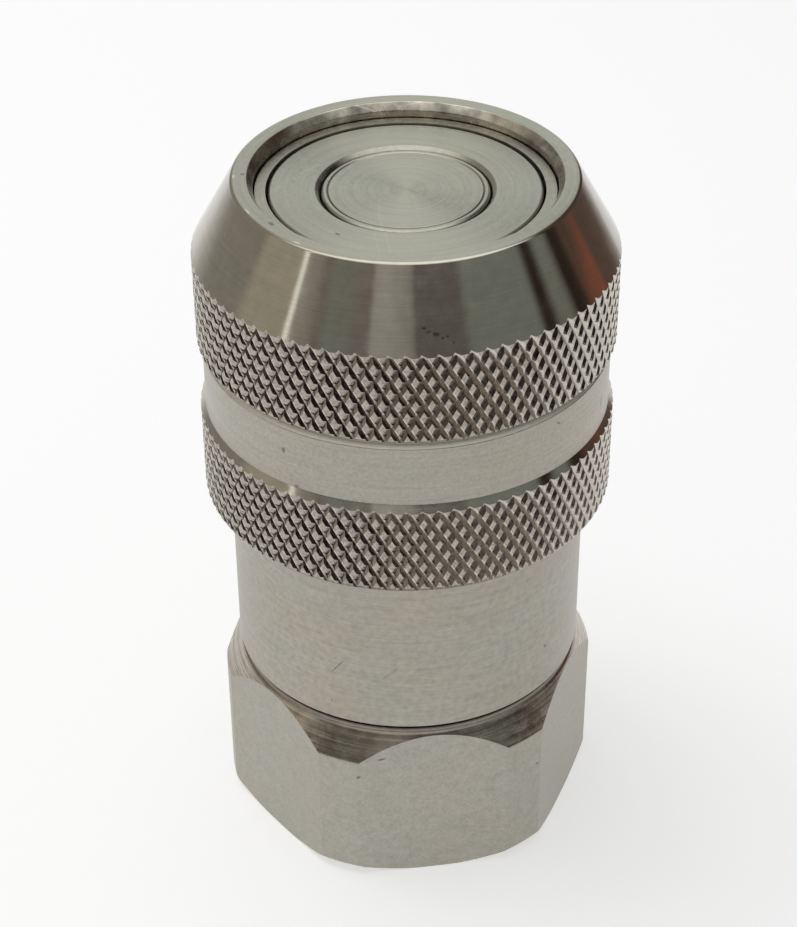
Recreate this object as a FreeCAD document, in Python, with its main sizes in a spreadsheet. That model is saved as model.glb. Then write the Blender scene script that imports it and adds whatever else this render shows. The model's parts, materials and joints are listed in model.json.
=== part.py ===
"""Flat-face hydraulic quick coupler, female half, as a parametric assembly in millimetres.

The coupler stands on its hex port end. Its axis is +Z and the middle of its foot is the origin.
Every turned piece is a closed half profile of (radius, height) corners revolved about that axis.
"""
import FreeCAD, Part
import math
import os

import Sketcher

# Driving dimensions. Heights are measured up the axis from the foot, radii from the axis.
DIMENSIONS = {
    # Hex port end with a half-inch tapered pipe port
    "hex_across_flats": 33.8,
    "hex_corner_radius": 18.45,
    "hex_land_top": 14.8,
    "hex_foot_radius": 17.0,
    "hex_foot_rise": 1.0,
    "hex_shoulder_radius": 16.8,
    "collar_radius": 16.6,
    "collar_top": 18.35,
    "seat_radius": 16.0,
    "port_radius": 9.15,
    "port_depth": 15.5,
    "port_mouth_radius": 10.9,
    "flow_radius": 8.0,
    "cavity_radius": 11.4,
    "cavity_floor": 22.2,
    "spigot_radius": 14.0,
    "spigot_top": 28.2,
    "joint_groove_radius": 12.9,
    "joint_groove_low": 25.7,
    "joint_groove_high": 27.7,
    # Barrel, with the ball cage and the nose turned on it
    "barrel_radius": 16.93,
    "barrel_low": 18.65,
    "barrel_top": 37.8,
    "barrel_bevel": 0.2,
    "neck_radius": 15.3,
    "flange_radius": 16.9,
    "flange_low": 46.2,
    "flange_high": 47.6,
    "cage_radius": 14.6,
    "cage_top": 62.4,
    "nose_radius": 13.4,
    "nose_top": 67.5,
    "pilot_radius": 14.05,
    "chamber_radius": 13.3,
    "chamber_top": 49.2,
    "socket_radius": 12.45,
    "nose_groove_radius": 13.8,
    "nose_groove_low": 54.4,
    "nose_groove_high": 57.4,
    # Locking balls and their tapered holes
    "ball_count": 12,
    "ball_radius": 1.75,
    "ball_circle": 14.02,
    "ball_height": 59.9,
    "ball_hole_inner": 1.71,
    "ball_hole_outer": 1.85,
    # Locking sleeve
    "rim_top": 68.9,
    "rim_radius": 15.45,
    "mouth_radius": 14.05,
    "mouth_bevel": 0.75,
    "lip_radius": 13.55,
    "lip_low": 66.6,
    "lip_root_radius": 14.9,
    "recess_radius": 15.9,
    "recess_top": 65.7,
    "land_radius": 14.75,
    "land_low": 56.2,
    "land_high": 58.05,
    "sleeve_bore": 17.1,
    "sleeve_low": 37.05,
    "crest_radius": 19.35,
    "cone_base": 61.9,
    "upper_knurl_low": 53.5,
    "upper_knurl_foot": 53.2,
    "band_groove_radius": 18.45,
    "band_radius": 18.85,
    "band_high": 52.3,
    "band_low": 46.45,
    "lower_knurl_top": 45.75,
    "lower_knurl_low": 37.5,
    "knurl_teeth": 86,
    "knurl_half_rows": 7,
    "knurl_depth": 0.28,
    "knurl_undercut": 0.02,
    "ring_groove_radius": 17.7,
    "ring_groove_low": 42.0,
    "ring_groove_high": 43.3,
    # Split ring that stops the sleeve at the flange
    "split_ring_inner": 15.95,
    "split_ring_outer": 17.65,
    "split_ring_low": 42.1,
    "split_ring_high": 43.2,
    "split_ring_arc": 342,
    # Valve sleeve
    "valve_radius": 12.2,
    "valve_face": 67.45,
    "valve_bore": 7.7,
    "valve_bore_bevel": 0.35,
    "valve_edge_bevel": 0.15,
    "throat_low": 61.7,
    "throat_radius": 9.0,
    "valve_spring_seat": 58.2,
    "valve_pocket": 10.9,
    "valve_flange_radius": 13.1,
    "valve_flange_high": 49.1,
    "valve_low": 46.7,
    # Fixed valve stem and its head
    "stem_face": 67.3,
    "stem_disc_radius": 6.88,
    "stem_head_radius": 7.5,
    "stem_flange_low": 62.0,
    "stem_flange_high": 63.2,
    "stem_seal_floor": 6.0,
    "head_ring_low": 65.2,
    "head_ring_bevel": 0.17,
    "stem_shank_radius": 4.5,
    "stem_tail_radius": 3.0,
    "stem_tail_low": 22.5,
    # Carrier that holds the stem, with its washer and nut
    "carrier_radius": 14.0,
    "carrier_top": 32.2,
    "carrier_hole_count": 6,
    "carrier_hole_radius": 2.2,
    "carrier_hole_circle": 6.95,
    "washer_radius": 5.2,
    "washer_low": 27.4,
    "nut_across_flats": 9.0,
    "nut_low": 23.4,
    # Springs
    "sleeve_wire": 0.65,
    "sleeve_coil_radius": 15.85,
    "sleeve_coil_turns": 3.25,
    "valve_wire": 0.75,
    "valve_coil_radius": 9.9,
    "valve_coil_turns": 6.5,
    # Clearances of seals, sliding and resting faces
    "seal_gap": 0.06,
    "rest_gap": 0.03,
}

doc = FreeCAD.newDocument("quick_coupler")
SUB_PARTS = []


class Size:
    """A length that knows its number now and the sheet expression that drives it."""

    def __init__(self, text, value):
        self.text = text
        self.value = value

    def _join(self, other, sign, value):
        text = other.text if isinstance(other, Size) else repr(other)
        return Size(f"({self.text} {sign} {text})", value)

    def __add__(self, other):
        return self._join(other, "+", self.value + number(other))

    def __sub__(self, other):
        return self._join(other, "-", self.value - number(other))

    def __mul__(self, other):
        return self._join(other, "*", self.value * number(other))

    def __truediv__(self, other):
        return self._join(other, "/", self.value / number(other))

    def __neg__(self):
        return Size(f"(0 - {self.text})", -self.value)


def number(length):
    """The plain number of a length."""
    return length.value if isinstance(length, Size) else length


def make_sheet():
    """Write the driving dimensions into a sheet, one alias a row."""
    dims = doc.addObject("Spreadsheet::Sheet", "Dims")
    for row, (alias, value) in enumerate(DIMENSIONS.items(), start=1):
        dims.set(f"A{row}", alias.replace("_", " "))
        dims.set(f"B{row}", str(value))
        dims.setAlias(f"B{row}", alias)
    doc.recompute()
    return dims


def dim(alias):
    """The driving dimension of that name, as the sheet holds it."""
    return Size(f"Dims.{alias}", float(sheet.get(alias)))


def drive(target, path, length):
    """Bind a property to a length of the sheet."""
    target.setExpression(path, length.text)


def keep(shape_object, name):
    """Name a finished sub-part and list it for export."""
    shape_object.Label = name
    SUB_PARTS.append(shape_object)
    return shape_object


def new_body(name):
    """An empty body for one sub-part."""
    return keep(doc.addObject("PartDesign::Body", name + "_body"), name)


def origin_item(body, role):
    """A plane or axis of the body's own origin."""
    return next(item for item in body.Origin.OriginFeatures if item.Role == role)


def sketch_on(body, role, name):
    """An empty sketch on one of the body's origin planes."""
    sketch = body.newObject("Sketcher::SketchObject", name)
    sketch.AttachmentSupport = [(origin_item(body, role), "")]
    sketch.MapMode = "FlatFace"
    return sketch


def pin_coordinate(sketch, kind, geometry, position, length):
    """Hold one coordinate of a sketch point at a length from the sheet, measured from the origin."""
    value = number(length)
    if not isinstance(length, Size):
        axis = -2 if kind == "DistanceX" else -1
        sketch.addConstraint(Sketcher.Constraint("PointOnObject", geometry, position, axis))
        return
    if value >= 0:
        index = sketch.addConstraint(Sketcher.Constraint(kind, -1, 1, geometry, position, value))
    else:
        index = sketch.addConstraint(Sketcher.Constraint(kind, geometry, position, -1, 1, -value))
        length = -length
    drive(sketch, f"Constraints[{index}]", length)


def closed_outline(sketch, corners):
    """Draw a closed, fully held polygon. A bare 0 puts a corner on the sketch's axis."""
    points = [FreeCAD.Vector(number(x), number(y), 0) for x, y in corners]
    first = sketch.GeometryCount
    count = len(points)
    for index, start in enumerate(points):
        end = points[(index + 1) % count]
        sketch.addGeometry(Part.LineSegment(start, end), False)
    for index in range(count):
        following = first + (index + 1) % count
        sketch.addConstraint(Sketcher.Constraint("Coincident", first + index, 2, following, 1))
    for index, (x, y) in enumerate(corners):
        pin_coordinate(sketch, "DistanceX", first + index, 1, x)
        pin_coordinate(sketch, "DistanceY", first + index, 1, y)


def held_circle(sketch, x, y, radius):
    """Draw a circle with a held middle and radius."""
    middle = FreeCAD.Vector(number(x), number(y), 0)
    index = sketch.addGeometry(Part.Circle(middle, FreeCAD.Vector(0, 0, 1), radius.value), False)
    pin_coordinate(sketch, "DistanceX", index, 3, x)
    pin_coordinate(sketch, "DistanceY", index, 3, y)
    held = sketch.addConstraint(Sketcher.Constraint("Radius", index, radius.value))
    drive(sketch, f"Constraints[{held}]", radius)


def revolve(body, corners, arc=None):
    """Revolve a half profile of (radius, height) corners about the coupler's axis."""
    sketch = sketch_on(body, "XZ_Plane", body.Label + "_profile")
    closed_outline(sketch, corners)
    turning = body.newObject("PartDesign::Revolution", body.Label + "_turning")
    turning.Profile = sketch
    turning.ReferenceAxis = (sketch, ["V_Axis"])
    if arc is not None:
        drive(turning, "Angle", arc)
    doc.recompute()
    return turning


def repeat_round_axis(body, feature, count):
    """Repeat a feature evenly round the coupler's axis."""
    pattern = body.newObject("PartDesign::PolarPattern", feature.Name + "_pattern")
    pattern.Originals = [feature]
    pattern.Axis = (origin_item(body, "Z_Axis"), [""])
    pattern.Angle = 360
    drive(pattern, "Occurrences", count)
    body.Tip = pattern
    doc.recompute()
    return pattern


def hexagon(across_flats):
    """Corners of a hexagon whose flats face along the sketch's second axis."""
    apothem = across_flats / 2
    half_side = apothem * math.tan(math.radians(30))
    corner = half_side * 2
    return [
        (corner, 0),
        (half_side, apothem),
        (-half_side, apothem),
        (-corner, 0),
        (-half_side, -apothem),
        (half_side, -apothem),
    ]


def plain_ring(name, inner, outer, low, high):
    """A ring of rectangular section."""
    body = new_body(name)
    revolve(body, [(inner, low), (outer, low), (outer, high), (inner, high)])
    return body


def round_ring(name, inner, outer, height):
    """A ring of round section between two radii."""
    ring = keep(doc.addObject("Part::Torus", name + "_torus"), name)
    drive(ring, "Radius1", (inner + outer) / 2)
    drive(ring, "Radius2", (outer - inner) / 2)
    drive(ring, "Placement.Base.z", height)
    return ring


def make_hex_adapter():
    """Hex port end: pipe port below, and the spigot that screws into the barrel above."""
    body = new_body("hex_adapter")
    corner = dim("hex_corner_radius")
    port = dim("port_radius")
    mouth = dim("port_mouth_radius")
    shoulder = dim("hex_shoulder_radius")
    shoulder_top = dim("hex_land_top") + (corner - shoulder) * math.sqrt(3)
    revolve(body, [
        (mouth, 0),
        (dim("hex_foot_radius"), 0),
        (corner, dim("hex_foot_rise")),
        (corner, dim("hex_land_top")),
        (shoulder, shoulder_top),
        (dim("collar_radius"), shoulder_top + (shoulder - dim("collar_radius"))),
        (dim("collar_radius"), dim("collar_top")),
        (dim("seat_radius"), dim("collar_top")),
        (dim("seat_radius"), dim("barrel_low")),
        (dim("spigot_radius"), dim("barrel_low")),
        (dim("spigot_radius"), dim("joint_groove_low")),
        (dim("joint_groove_radius"), dim("joint_groove_low")),
        (dim("joint_groove_radius"), dim("joint_groove_high")),
        (dim("spigot_radius"), dim("joint_groove_high")),
        (dim("spigot_radius"), dim("spigot_top")),
        (dim("cavity_radius"), dim("spigot_top")),
        (dim("cavity_radius"), dim("cavity_floor")),
        (dim("flow_radius"), dim("cavity_floor")),
        (dim("flow_radius"), dim("port_depth")),
        (port, dim("port_depth")),
        (port, mouth - port),
    ])
    flats = sketch_on(body, "XY_Plane", "hex_flats")
    closed_outline(flats, hexagon(dim("hex_across_flats")))
    held_circle(flats, 0, 0, corner * 1.5)
    milling = body.newObject("PartDesign::Pocket", "hex_milling")
    milling.Profile = flats
    milling.Type = "ThroughAll"
    milling.Reversed = True
    doc.recompute()


def make_barrel():
    """Barrel: grip, sleeve neck, spring flange, ball cage and nose in one turning."""
    body = new_body("barrel")
    outer = dim("barrel_radius")
    bevel = dim("barrel_bevel")
    revolve(body, [
        (dim("pilot_radius"), dim("barrel_low")),
        (outer - bevel, dim("barrel_low")),
        (outer, dim("barrel_low") + bevel),
        (outer, dim("barrel_top") - bevel),
        (outer - bevel, dim("barrel_top")),
        (dim("neck_radius"), dim("barrel_top")),
        (dim("neck_radius"), dim("flange_low")),
        (dim("flange_radius"), dim("flange_low")),
        (dim("flange_radius"), dim("flange_high")),
        (dim("cage_radius"), dim("flange_high")),
        (dim("cage_radius"), dim("cage_top")),
        (dim("nose_radius"), dim("cage_top")),
        (dim("nose_radius"), dim("nose_top")),
        (dim("socket_radius"), dim("nose_top")),
        (dim("socket_radius"), dim("nose_groove_high")),
        (dim("nose_groove_radius"), dim("nose_groove_high")),
        (dim("nose_groove_radius"), dim("nose_groove_low")),
        (dim("socket_radius"), dim("nose_groove_low")),
        (dim("socket_radius"), dim("chamber_top")),
        (dim("chamber_radius"), dim("chamber_top")),
        (dim("chamber_radius"), dim("carrier_top")),
        (dim("pilot_radius"), dim("carrier_top")),
    ])
    hole = sketch_on(body, "XZ_Plane", "ball_hole_profile")
    height = dim("ball_height")
    closed_outline(hole, [
        (dim("socket_radius") - bevel, height),
        (dim("cage_radius") + bevel, height),
        (dim("cage_radius") + bevel, height + dim("ball_hole_outer")),
        (dim("socket_radius") - bevel, height + dim("ball_hole_inner")),
    ])
    drilling = body.newObject("PartDesign::Groove", "ball_hole")
    drilling.Profile = hole
    drilling.ReferenceAxis = (hole, ["Edge1"])
    doc.recompute()
    repeat_round_axis(body, drilling, dim("ball_count"))


class Knurl:
    """A band of diamond teeth, each a low pyramid of four facets between crossing grooves.

    Columns are half teeth round the axis and rows are half teeth up it. Grooves cross where column
    and row are both even or both odd, and a tooth has its point where they differ. Below the first
    row and above the last one a bevel runs the teeth out to the depth of the grooves.
    """

    def __init__(self, foot, low, high, end):
        self.columns = 2 * int(dim("knurl_teeth").value)
        self.rows = int(dim("knurl_half_rows").value)
        self.crest = dim("crest_radius").value
        self.root = self.crest - dim("knurl_depth").value
        self.foot = foot.value
        self.low = low.value
        self.high = high.value
        self.end = end.value

    def spot(self, column, radius, height):
        """A point at a column of the band."""
        turn = 2 * math.pi * column / self.columns
        return FreeCAD.Vector(radius * math.cos(turn), radius * math.sin(turn), height)

    def point(self, column, row):
        """A tooth's point or a groove crossing."""
        radius = self.root if (column + row) % 2 == 0 else self.crest
        height = self.low + (self.high - self.low) * row / self.rows
        return self.spot(column, radius, height)

    def ring(self, height):
        """The closed ring of points where a bevel has run out to the depth of the grooves."""
        return [self.spot(column, self.root, height) for column in range(self.columns)]

    def facets(self):
        """The triangles of the teeth and of the bevels that end them."""
        triangles = []
        for row in range(self.rows + 1):
            for column in range(row % 2 + 1, self.columns + row % 2 + 1, 2):
                triangles += self.tooth(column, row)
        return triangles + self.bevel(0, self.foot) + self.bevel(self.rows, self.end)

    def tooth(self, column, row):
        """The facets of one tooth. A tooth at either end of the band is half a pyramid."""
        top = self.point(column, row)
        left = self.point(column - 1, row)
        right = self.point(column + 1, row)
        sides = []
        if row < self.rows:
            above = self.point(column, row + 1)
            sides += [(top, right, above), (top, above, left)]
        if row > 0:
            below = self.point(column, row - 1)
            sides += [(top, left, below), (top, below, right)]
        return sides

    def bevel(self, row, height):
        """The triangles between an end row of the teeth and the ring where its bevel runs out."""
        triangles = []
        for column in range(self.columns):
            here = self.point(column, row)
            beside = self.point(column + 1, row)
            out = self.spot(column, self.root, height)
            beyond = self.spot(column + 1, self.root, height)
            triangles += [(here, beside, beyond), (here, beyond, out)]
        return triangles


def polygon_face(points):
    """A flat face inside a closed polygon."""
    return Part.Face(Part.makePolygon([*points, points[0]]))


def ledge(points, radius):
    """A flat ring between a closed polygon and a circle inside it."""
    middle = FreeCAD.Vector(0, 0, points[0].z)
    outside = Part.makePolygon([*points, points[0]])
    inside = Part.Wire(Part.makeCircle(radius, middle))
    return Part.makeFace([outside, inside], "Part::FaceMakerBullseye")


def make_locking_sleeve():
    """Knurled collar: cone, two grip bands, and inside the mouth lip, ball recess and ball land.

    It is turned first, a little below the depth of the grooves. Then the teeth take the place of the
    two cylinders under them, and the skin is sewn up again as one solid.
    """
    crest = dim("crest_radius")
    band = dim("band_radius")
    depth = dim("knurl_depth")
    start = crest - depth - dim("knurl_undercut")
    cone_foot = dim("cone_base") + depth * (dim("rim_top") - dim("cone_base")) / (crest - dim("rim_radius"))
    edge_foot = dim("lower_knurl_top") + depth * (dim("band_low") - dim("lower_knurl_top")) / (crest - band)
    groove = dim("band_groove_radius")
    bore = dim("sleeve_bore")
    recess_low = dim("land_high") + (dim("recess_radius") - dim("land_radius"))
    turned = doc.addObject("PartDesign::Body", "sleeve_turning_body")
    turned.Label = "sleeve"
    revolve(turned, [
        (bore, dim("sleeve_low")),
        (start, dim("sleeve_low")),
        (start, edge_foot),
        (band, dim("band_low")),
        (band, dim("band_high")),
        (groove, dim("band_high") + (band - groove)),
        (groove, dim("upper_knurl_foot")),
        (start, dim("upper_knurl_foot")),
        (start, cone_foot),
        (dim("rim_radius"), dim("rim_top")),
        (dim("mouth_radius"), dim("rim_top")),
        (dim("lip_radius"), dim("rim_top") - dim("mouth_bevel")),
        (dim("lip_radius"), dim("lip_low")),
        (dim("lip_root_radius"), dim("lip_low")),
        (dim("recess_radius"), dim("recess_top")),
        (dim("recess_radius"), recess_low),
        (dim("land_radius"), dim("land_high")),
        (dim("land_radius"), dim("land_low")),
        (bore, dim("land_low")),
        (bore, dim("ring_groove_high")),
        (dim("ring_groove_radius"), dim("ring_groove_high")),
        (dim("ring_groove_radius"), dim("ring_groove_low")),
        (bore, dim("ring_groove_low")),
    ])
    upper = Knurl(dim("upper_knurl_foot"), dim("upper_knurl_low"), dim("cone_base"), cone_foot)
    lower = Knurl(dim("sleeve_low"), dim("lower_knurl_low"), dim("lower_knurl_top"), edge_foot)
    feet = (upper.foot, lower.foot)
    faces = [face for face in turned.Shape.Faces if not is_knurled_away(face, start.value, feet)]
    for knurl, inside in ((upper, groove), (lower, bore)):
        faces += [polygon_face(triangle) for triangle in knurl.facets()]
        faces.append(ledge(knurl.ring(knurl.foot), inside.value))
        faces.append(ledge(knurl.ring(knurl.end), start.value))
    skin = Part.makeCompound(faces)
    skin.sewShape(0.0001)
    solid = Part.makeSolid(skin.Shells[0])
    if solid.Volume < 0:
        solid.reverse()
    sleeve = keep(doc.addObject("Part::Feature", "locking_sleeve_knurled"), "locking_sleeve")
    sleeve.Shape = solid
    sleeve.Placement = FreeCAD.Placement()


def is_knurled_away(face, start, feet):
    """Whether a face of the turning is one that the knurl and its end faces take the place of."""
    box = face.BoundBox
    if box.ZLength < 0.001:
        return min(abs(box.ZMin - foot) for foot in feet) < 0.001
    return isinstance(face.Surface, Part.Cylinder) and abs(face.Surface.Radius - start) < 0.001


def make_retaining_ring():
    """Split ring that sits in the sleeve's groove and stops it at the barrel's flange."""
    body = new_body("sleeve_retaining_ring")
    inner = dim("split_ring_inner")
    outer = dim("split_ring_outer")
    low = dim("split_ring_low")
    high = dim("split_ring_high")
    revolve(body, [(inner, low), (outer, low), (outer, high), (inner, high)], dim("split_ring_arc"))


def make_valve_sleeve():
    """Sliding valve: flat annular face, throat that seals on the stem head, and spring pocket."""
    body = new_body("valve_sleeve")
    bore = dim("valve_bore")
    bore_bevel = dim("valve_bore_bevel")
    edge_bevel = dim("valve_edge_bevel")
    face = dim("valve_face")
    outer = dim("valve_radius")
    throat = dim("throat_radius")
    revolve(body, [
        (dim("valve_pocket"), dim("valve_low")),
        (dim("valve_flange_radius"), dim("valve_low")),
        (dim("valve_flange_radius"), dim("valve_flange_high")),
        (outer, dim("valve_flange_high")),
        (outer, face - edge_bevel),
        (outer - edge_bevel, face),
        (bore + bore_bevel, face),
        (bore, face - bore_bevel),
        (bore, dim("throat_low")),
        (throat, dim("throat_low") - (throat - bore)),
        (throat, dim("valve_spring_seat")),
        (dim("valve_pocket"), dim("valve_spring_seat")),
    ])


def make_stem():
    """Fixed stem with its flat head, and the ring and seal that sit round the head."""
    body = new_body("valve_stem")
    shank = dim("stem_shank_radius")
    head = dim("stem_head_radius")
    disc = dim("stem_disc_radius")
    revolve(body, [
        (0, dim("stem_tail_low")),
        (dim("stem_tail_radius"), dim("stem_tail_low")),
        (dim("stem_tail_radius"), dim("carrier_top")),
        (shank, dim("carrier_top")),
        (shank, dim("stem_flange_low") - (head - shank) / 2),
        (head, dim("stem_flange_low")),
        (head, dim("stem_flange_high")),
        (dim("stem_seal_floor"), dim("stem_flange_high")),
        (dim("stem_seal_floor"), dim("head_ring_low")),
        (disc, dim("head_ring_low")),
        (disc, dim("stem_face")),
        (0, dim("stem_face")),
    ])
    ring = new_body("stem_head_ring")
    bevel = dim("head_ring_bevel")
    top = dim("stem_face")
    revolve(ring, [
        (disc, dim("head_ring_low")),
        (head, dim("head_ring_low")),
        (head, top - bevel),
        (head - bevel, top),
        (disc + bevel, top),
        (disc, top - bevel),
    ])
    gap = dim("rest_gap")
    plain_ring(
        "stem_seal",
        dim("stem_seal_floor") + gap,
        dim("valve_bore") - dim("seal_gap"),
        dim("stem_flange_high"),
        dim("head_ring_low"),
    )


def make_stem_fixing():
    """Perforated carrier clamped between barrel and adapter, with the washer and nut below it."""
    carrier = new_body("stem_carrier")
    tail_hole = dim("stem_tail_radius") + dim("rest_gap")
    low = dim("spigot_top")
    revolve(carrier, [
        (tail_hole, low),
        (dim("carrier_radius"), low),
        (dim("carrier_radius"), dim("carrier_top")),
        (tail_hole, dim("carrier_top")),
    ])
    hole = sketch_on(carrier, "XY_Plane", "flow_hole_outline")
    held_circle(hole, dim("carrier_hole_circle"), 0, dim("carrier_hole_radius"))
    drilling = carrier.newObject("PartDesign::Pocket", "flow_hole")
    drilling.Profile = hole
    drilling.Type = "ThroughAll"
    drilling.Reversed = True
    doc.recompute()
    repeat_round_axis(carrier, drilling, dim("carrier_hole_count"))

    plain_ring("stem_washer", tail_hole, dim("washer_radius"), dim("washer_low"), low)

    nut = new_body("stem_nut")
    outline = sketch_on(nut, "XY_Plane", "nut_outline")
    closed_outline(outline, hexagon(dim("nut_across_flats")))
    held_circle(outline, 0, 0, tail_hole)
    drive(outline, "AttachmentOffset.Base.z", dim("nut_low"))
    block = nut.newObject("PartDesign::Pad", "nut_block")
    block.Profile = outline
    drive(block, "Length", dim("washer_low") - dim("nut_low"))
    doc.recompute()


def make_balls():
    """Locking balls in their holes, each held out by the valve sleeve under it."""
    count = int(dim("ball_count").value)
    for index in range(count):
        name = f"locking_ball_{index + 1:02d}"
        ball = keep(doc.addObject("Part::Sphere", name + "_sphere"), name)
        turn = f"({index} * 360 deg / Dims.ball_count)"
        drive(ball, "Radius", dim("ball_radius"))
        ball.setExpression("Placement.Base.x", f"Dims.ball_circle * cos({turn})")
        ball.setExpression("Placement.Base.y", f"Dims.ball_circle * sin({turn})")
        drive(ball, "Placement.Base.z", dim("ball_height"))


def make_spring(name, low, high, coil_radius, wire, turns):
    """Helical spring whose end coils touch its two seats."""
    rise = high - low - wire * 2
    path = doc.addObject("Part::Helix", name + "_path")
    drive(path, "Radius", coil_radius)
    drive(path, "Height", rise)
    drive(path, "Pitch", rise / turns)
    drive(path, "Placement.Base.z", low + wire)
    section = doc.addObject("Part::Circle", name + "_section")
    drive(section, "Radius", wire)
    section.Placement.Rotation = FreeCAD.Rotation(FreeCAD.Vector(1, 0, 0), 90)
    drive(section, "Placement.Base.x", coil_radius)
    drive(section, "Placement.Base.z", low + wire)
    coil = keep(doc.addObject("Part::Sweep", name + "_coil"), name)
    coil.Sections = [section]
    coil.Spine = (path, [])
    coil.Solid = True
    coil.Frenet = True
    doc.recompute()


def make_springs():
    """Sleeve spring on the barrel's flange, and valve spring on the stem carrier."""
    gap = dim("rest_gap")
    make_spring(
        "sleeve_spring",
        dim("flange_high") + gap,
        dim("land_low") - gap,
        dim("sleeve_coil_radius"),
        dim("sleeve_wire"),
        dim("sleeve_coil_turns"),
    )
    make_spring(
        "valve_spring",
        dim("carrier_top") + gap,
        dim("valve_spring_seat") - gap,
        dim("valve_coil_radius"),
        dim("valve_wire"),
        dim("valve_coil_turns"),
    )


def make_groove_seals(name, backup_name, inner, outer, low, high):
    """A seal ring of round section and the backup ring under it, filling one groove."""
    section = outer - inner
    round_ring(name, inner, outer, high - section / 2)
    plain_ring(backup_name, inner, outer, low, high - section)


def make_seals():
    """Seal pairs of the nose socket and of the screwed joint."""
    gap = dim("seal_gap")
    rest = dim("rest_gap")
    make_groove_seals(
        "nose_seal",
        "nose_backup_ring",
        dim("valve_radius") + gap,
        dim("nose_groove_radius") - rest,
        dim("nose_groove_low"),
        dim("nose_groove_high"),
    )
    make_groove_seals(
        "adapter_seal",
        "adapter_backup_ring",
        dim("joint_groove_radius") + rest,
        dim("pilot_radius") - rest,
        dim("joint_groove_low"),
        dim("joint_groove_high"),
    )


def check_document():
    """Stop if any object failed or any sub-part has no sound shape."""
    doc.recompute()
    for item in doc.Objects:
        if "Invalid" in item.State or "Error" in item.State:
            raise RuntimeError(f"{item.Name} failed: {item.State}")
    for item in SUB_PARTS:
        if item.Shape.isNull() or not item.Shape.isValid():
            raise RuntimeError(f"{item.Label} has no sound shape")


def export_sub_parts():
    """Write each sub-part to a file of its own and print its volume."""
    os.makedirs("parts", exist_ok=True)
    for item in SUB_PARTS:
        item.Shape.exportStep(f"parts/{item.Label}.step")
        print(f"{item.Label}: {item.Shape.Volume:.1f} mm3, {len(item.Shape.Solids)} solid")


sheet = make_sheet()
make_hex_adapter()
make_barrel()
make_locking_sleeve()
make_retaining_ring()
make_valve_sleeve()
make_stem()
make_stem_fixing()
make_balls()
make_springs()
make_seals()
check_document()
export_sub_parts()
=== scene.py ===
"""Looks of a flat-face hydraulic quick coupler: turned, knurled and milled stainless steel."""

import json
import logging
import math
from dataclasses import dataclass, field
from enum import Enum
from functools import cached_property
from typing import Sequence

import bmesh
import bpy
from bmesh.types import BMEdge, BMesh, BMFace, BMVert
from bpy.types import ID, Material, Mesh, MeshPolygon, NodeSocket, NodeTree, Object
from mathutils import Euler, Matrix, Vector


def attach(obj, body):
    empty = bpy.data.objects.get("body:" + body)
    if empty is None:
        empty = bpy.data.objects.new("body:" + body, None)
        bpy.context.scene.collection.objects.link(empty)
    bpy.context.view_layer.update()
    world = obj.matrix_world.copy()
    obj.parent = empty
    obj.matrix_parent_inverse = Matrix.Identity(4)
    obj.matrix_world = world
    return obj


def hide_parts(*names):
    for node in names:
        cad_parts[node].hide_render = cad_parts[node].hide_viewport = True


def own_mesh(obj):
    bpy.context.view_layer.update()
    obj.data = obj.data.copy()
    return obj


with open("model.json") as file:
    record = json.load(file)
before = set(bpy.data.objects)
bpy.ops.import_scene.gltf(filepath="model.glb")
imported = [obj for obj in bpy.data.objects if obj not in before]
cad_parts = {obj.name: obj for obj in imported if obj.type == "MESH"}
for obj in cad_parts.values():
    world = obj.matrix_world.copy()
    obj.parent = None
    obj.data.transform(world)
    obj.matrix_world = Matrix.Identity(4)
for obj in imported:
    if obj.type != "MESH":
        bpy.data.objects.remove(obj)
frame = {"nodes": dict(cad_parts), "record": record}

log = logging.getLogger("coupler")
MM = 0.001
FULL_TURN = 2 * math.pi
WELD = 0.0005 * MM  # points nearer than this are merged
SLIVER = 0.0002 * MM  # edges shorter than this are dissolved
TURN_SLACK = 1e-6  # radians by which a point may lie before the start of a turn
NOISE_RANGE = (0.3, 0.7)  # what a noise pattern mostly keeps to
WHITE = (1.0, 1.0, 1.0)
Span = tuple[float, float]
Place = tuple[float, float, float]
Colour = tuple[float, float, float]


class Lay(Enum):
    """Which way the tool marks run on a surface."""

    TURNED = "turned"
    NONE = "none"


class SleeveZone(Enum):
    """The parts of the locking sleeve that have finishes of their own, by material slot."""

    GRIP = 0
    PLAIN = 1
    CONE = 2
    WORN = 3
    RIM = 4
    RIDGE = 5
    GRIME = 6
    EDGE = 7


class HexZone(Enum):
    """The parts of the hex end that have finishes of their own, by material slot."""

    FLAT = 0
    TURNED = 1
    SEAM = 2


class Value:
    """An output socket that can be reckoned with like a number."""

    def __init__(self, graph: "Graph", socket: NodeSocket) -> None:
        """Keep the socket and the graph that it is in."""
        self.graph = graph
        self.socket = socket

    def __add__(self, other: "float | Value") -> "Value":
        """Add a number or another value."""
        return self.graph.math("ADD", self, other)

    def __sub__(self, other: "float | Value") -> "Value":
        """Take away a number or another value."""
        return self.graph.math("SUBTRACT", self, other)

    def __mul__(self, other: "float | Value") -> "Value":
        """Multiply by a number or another value."""
        return self.graph.math("MULTIPLY", self, other)

    def __abs__(self) -> "Value":
        """Drop the sign."""
        return self.graph.math("ABSOLUTE", self)

    def ramp(self, low: float, high: float, to_low: float = 0.0, to_high: float = 1.0) -> "Value":
        """Map the range from low to high onto another, clamped at both ends."""
        return self.graph.add("ShaderNodeMapRange", dict(enumerate((self, low, high, to_low, to_high))))

    def around(self, middle: float, swing: float) -> "Value":
        """Map the range that noise mostly keeps to onto a middle and a swing to both sides."""
        return self.ramp(*NOISE_RANGE, middle - swing, middle + swing)


Number = float | Value
Tone = Colour | Value


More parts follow.
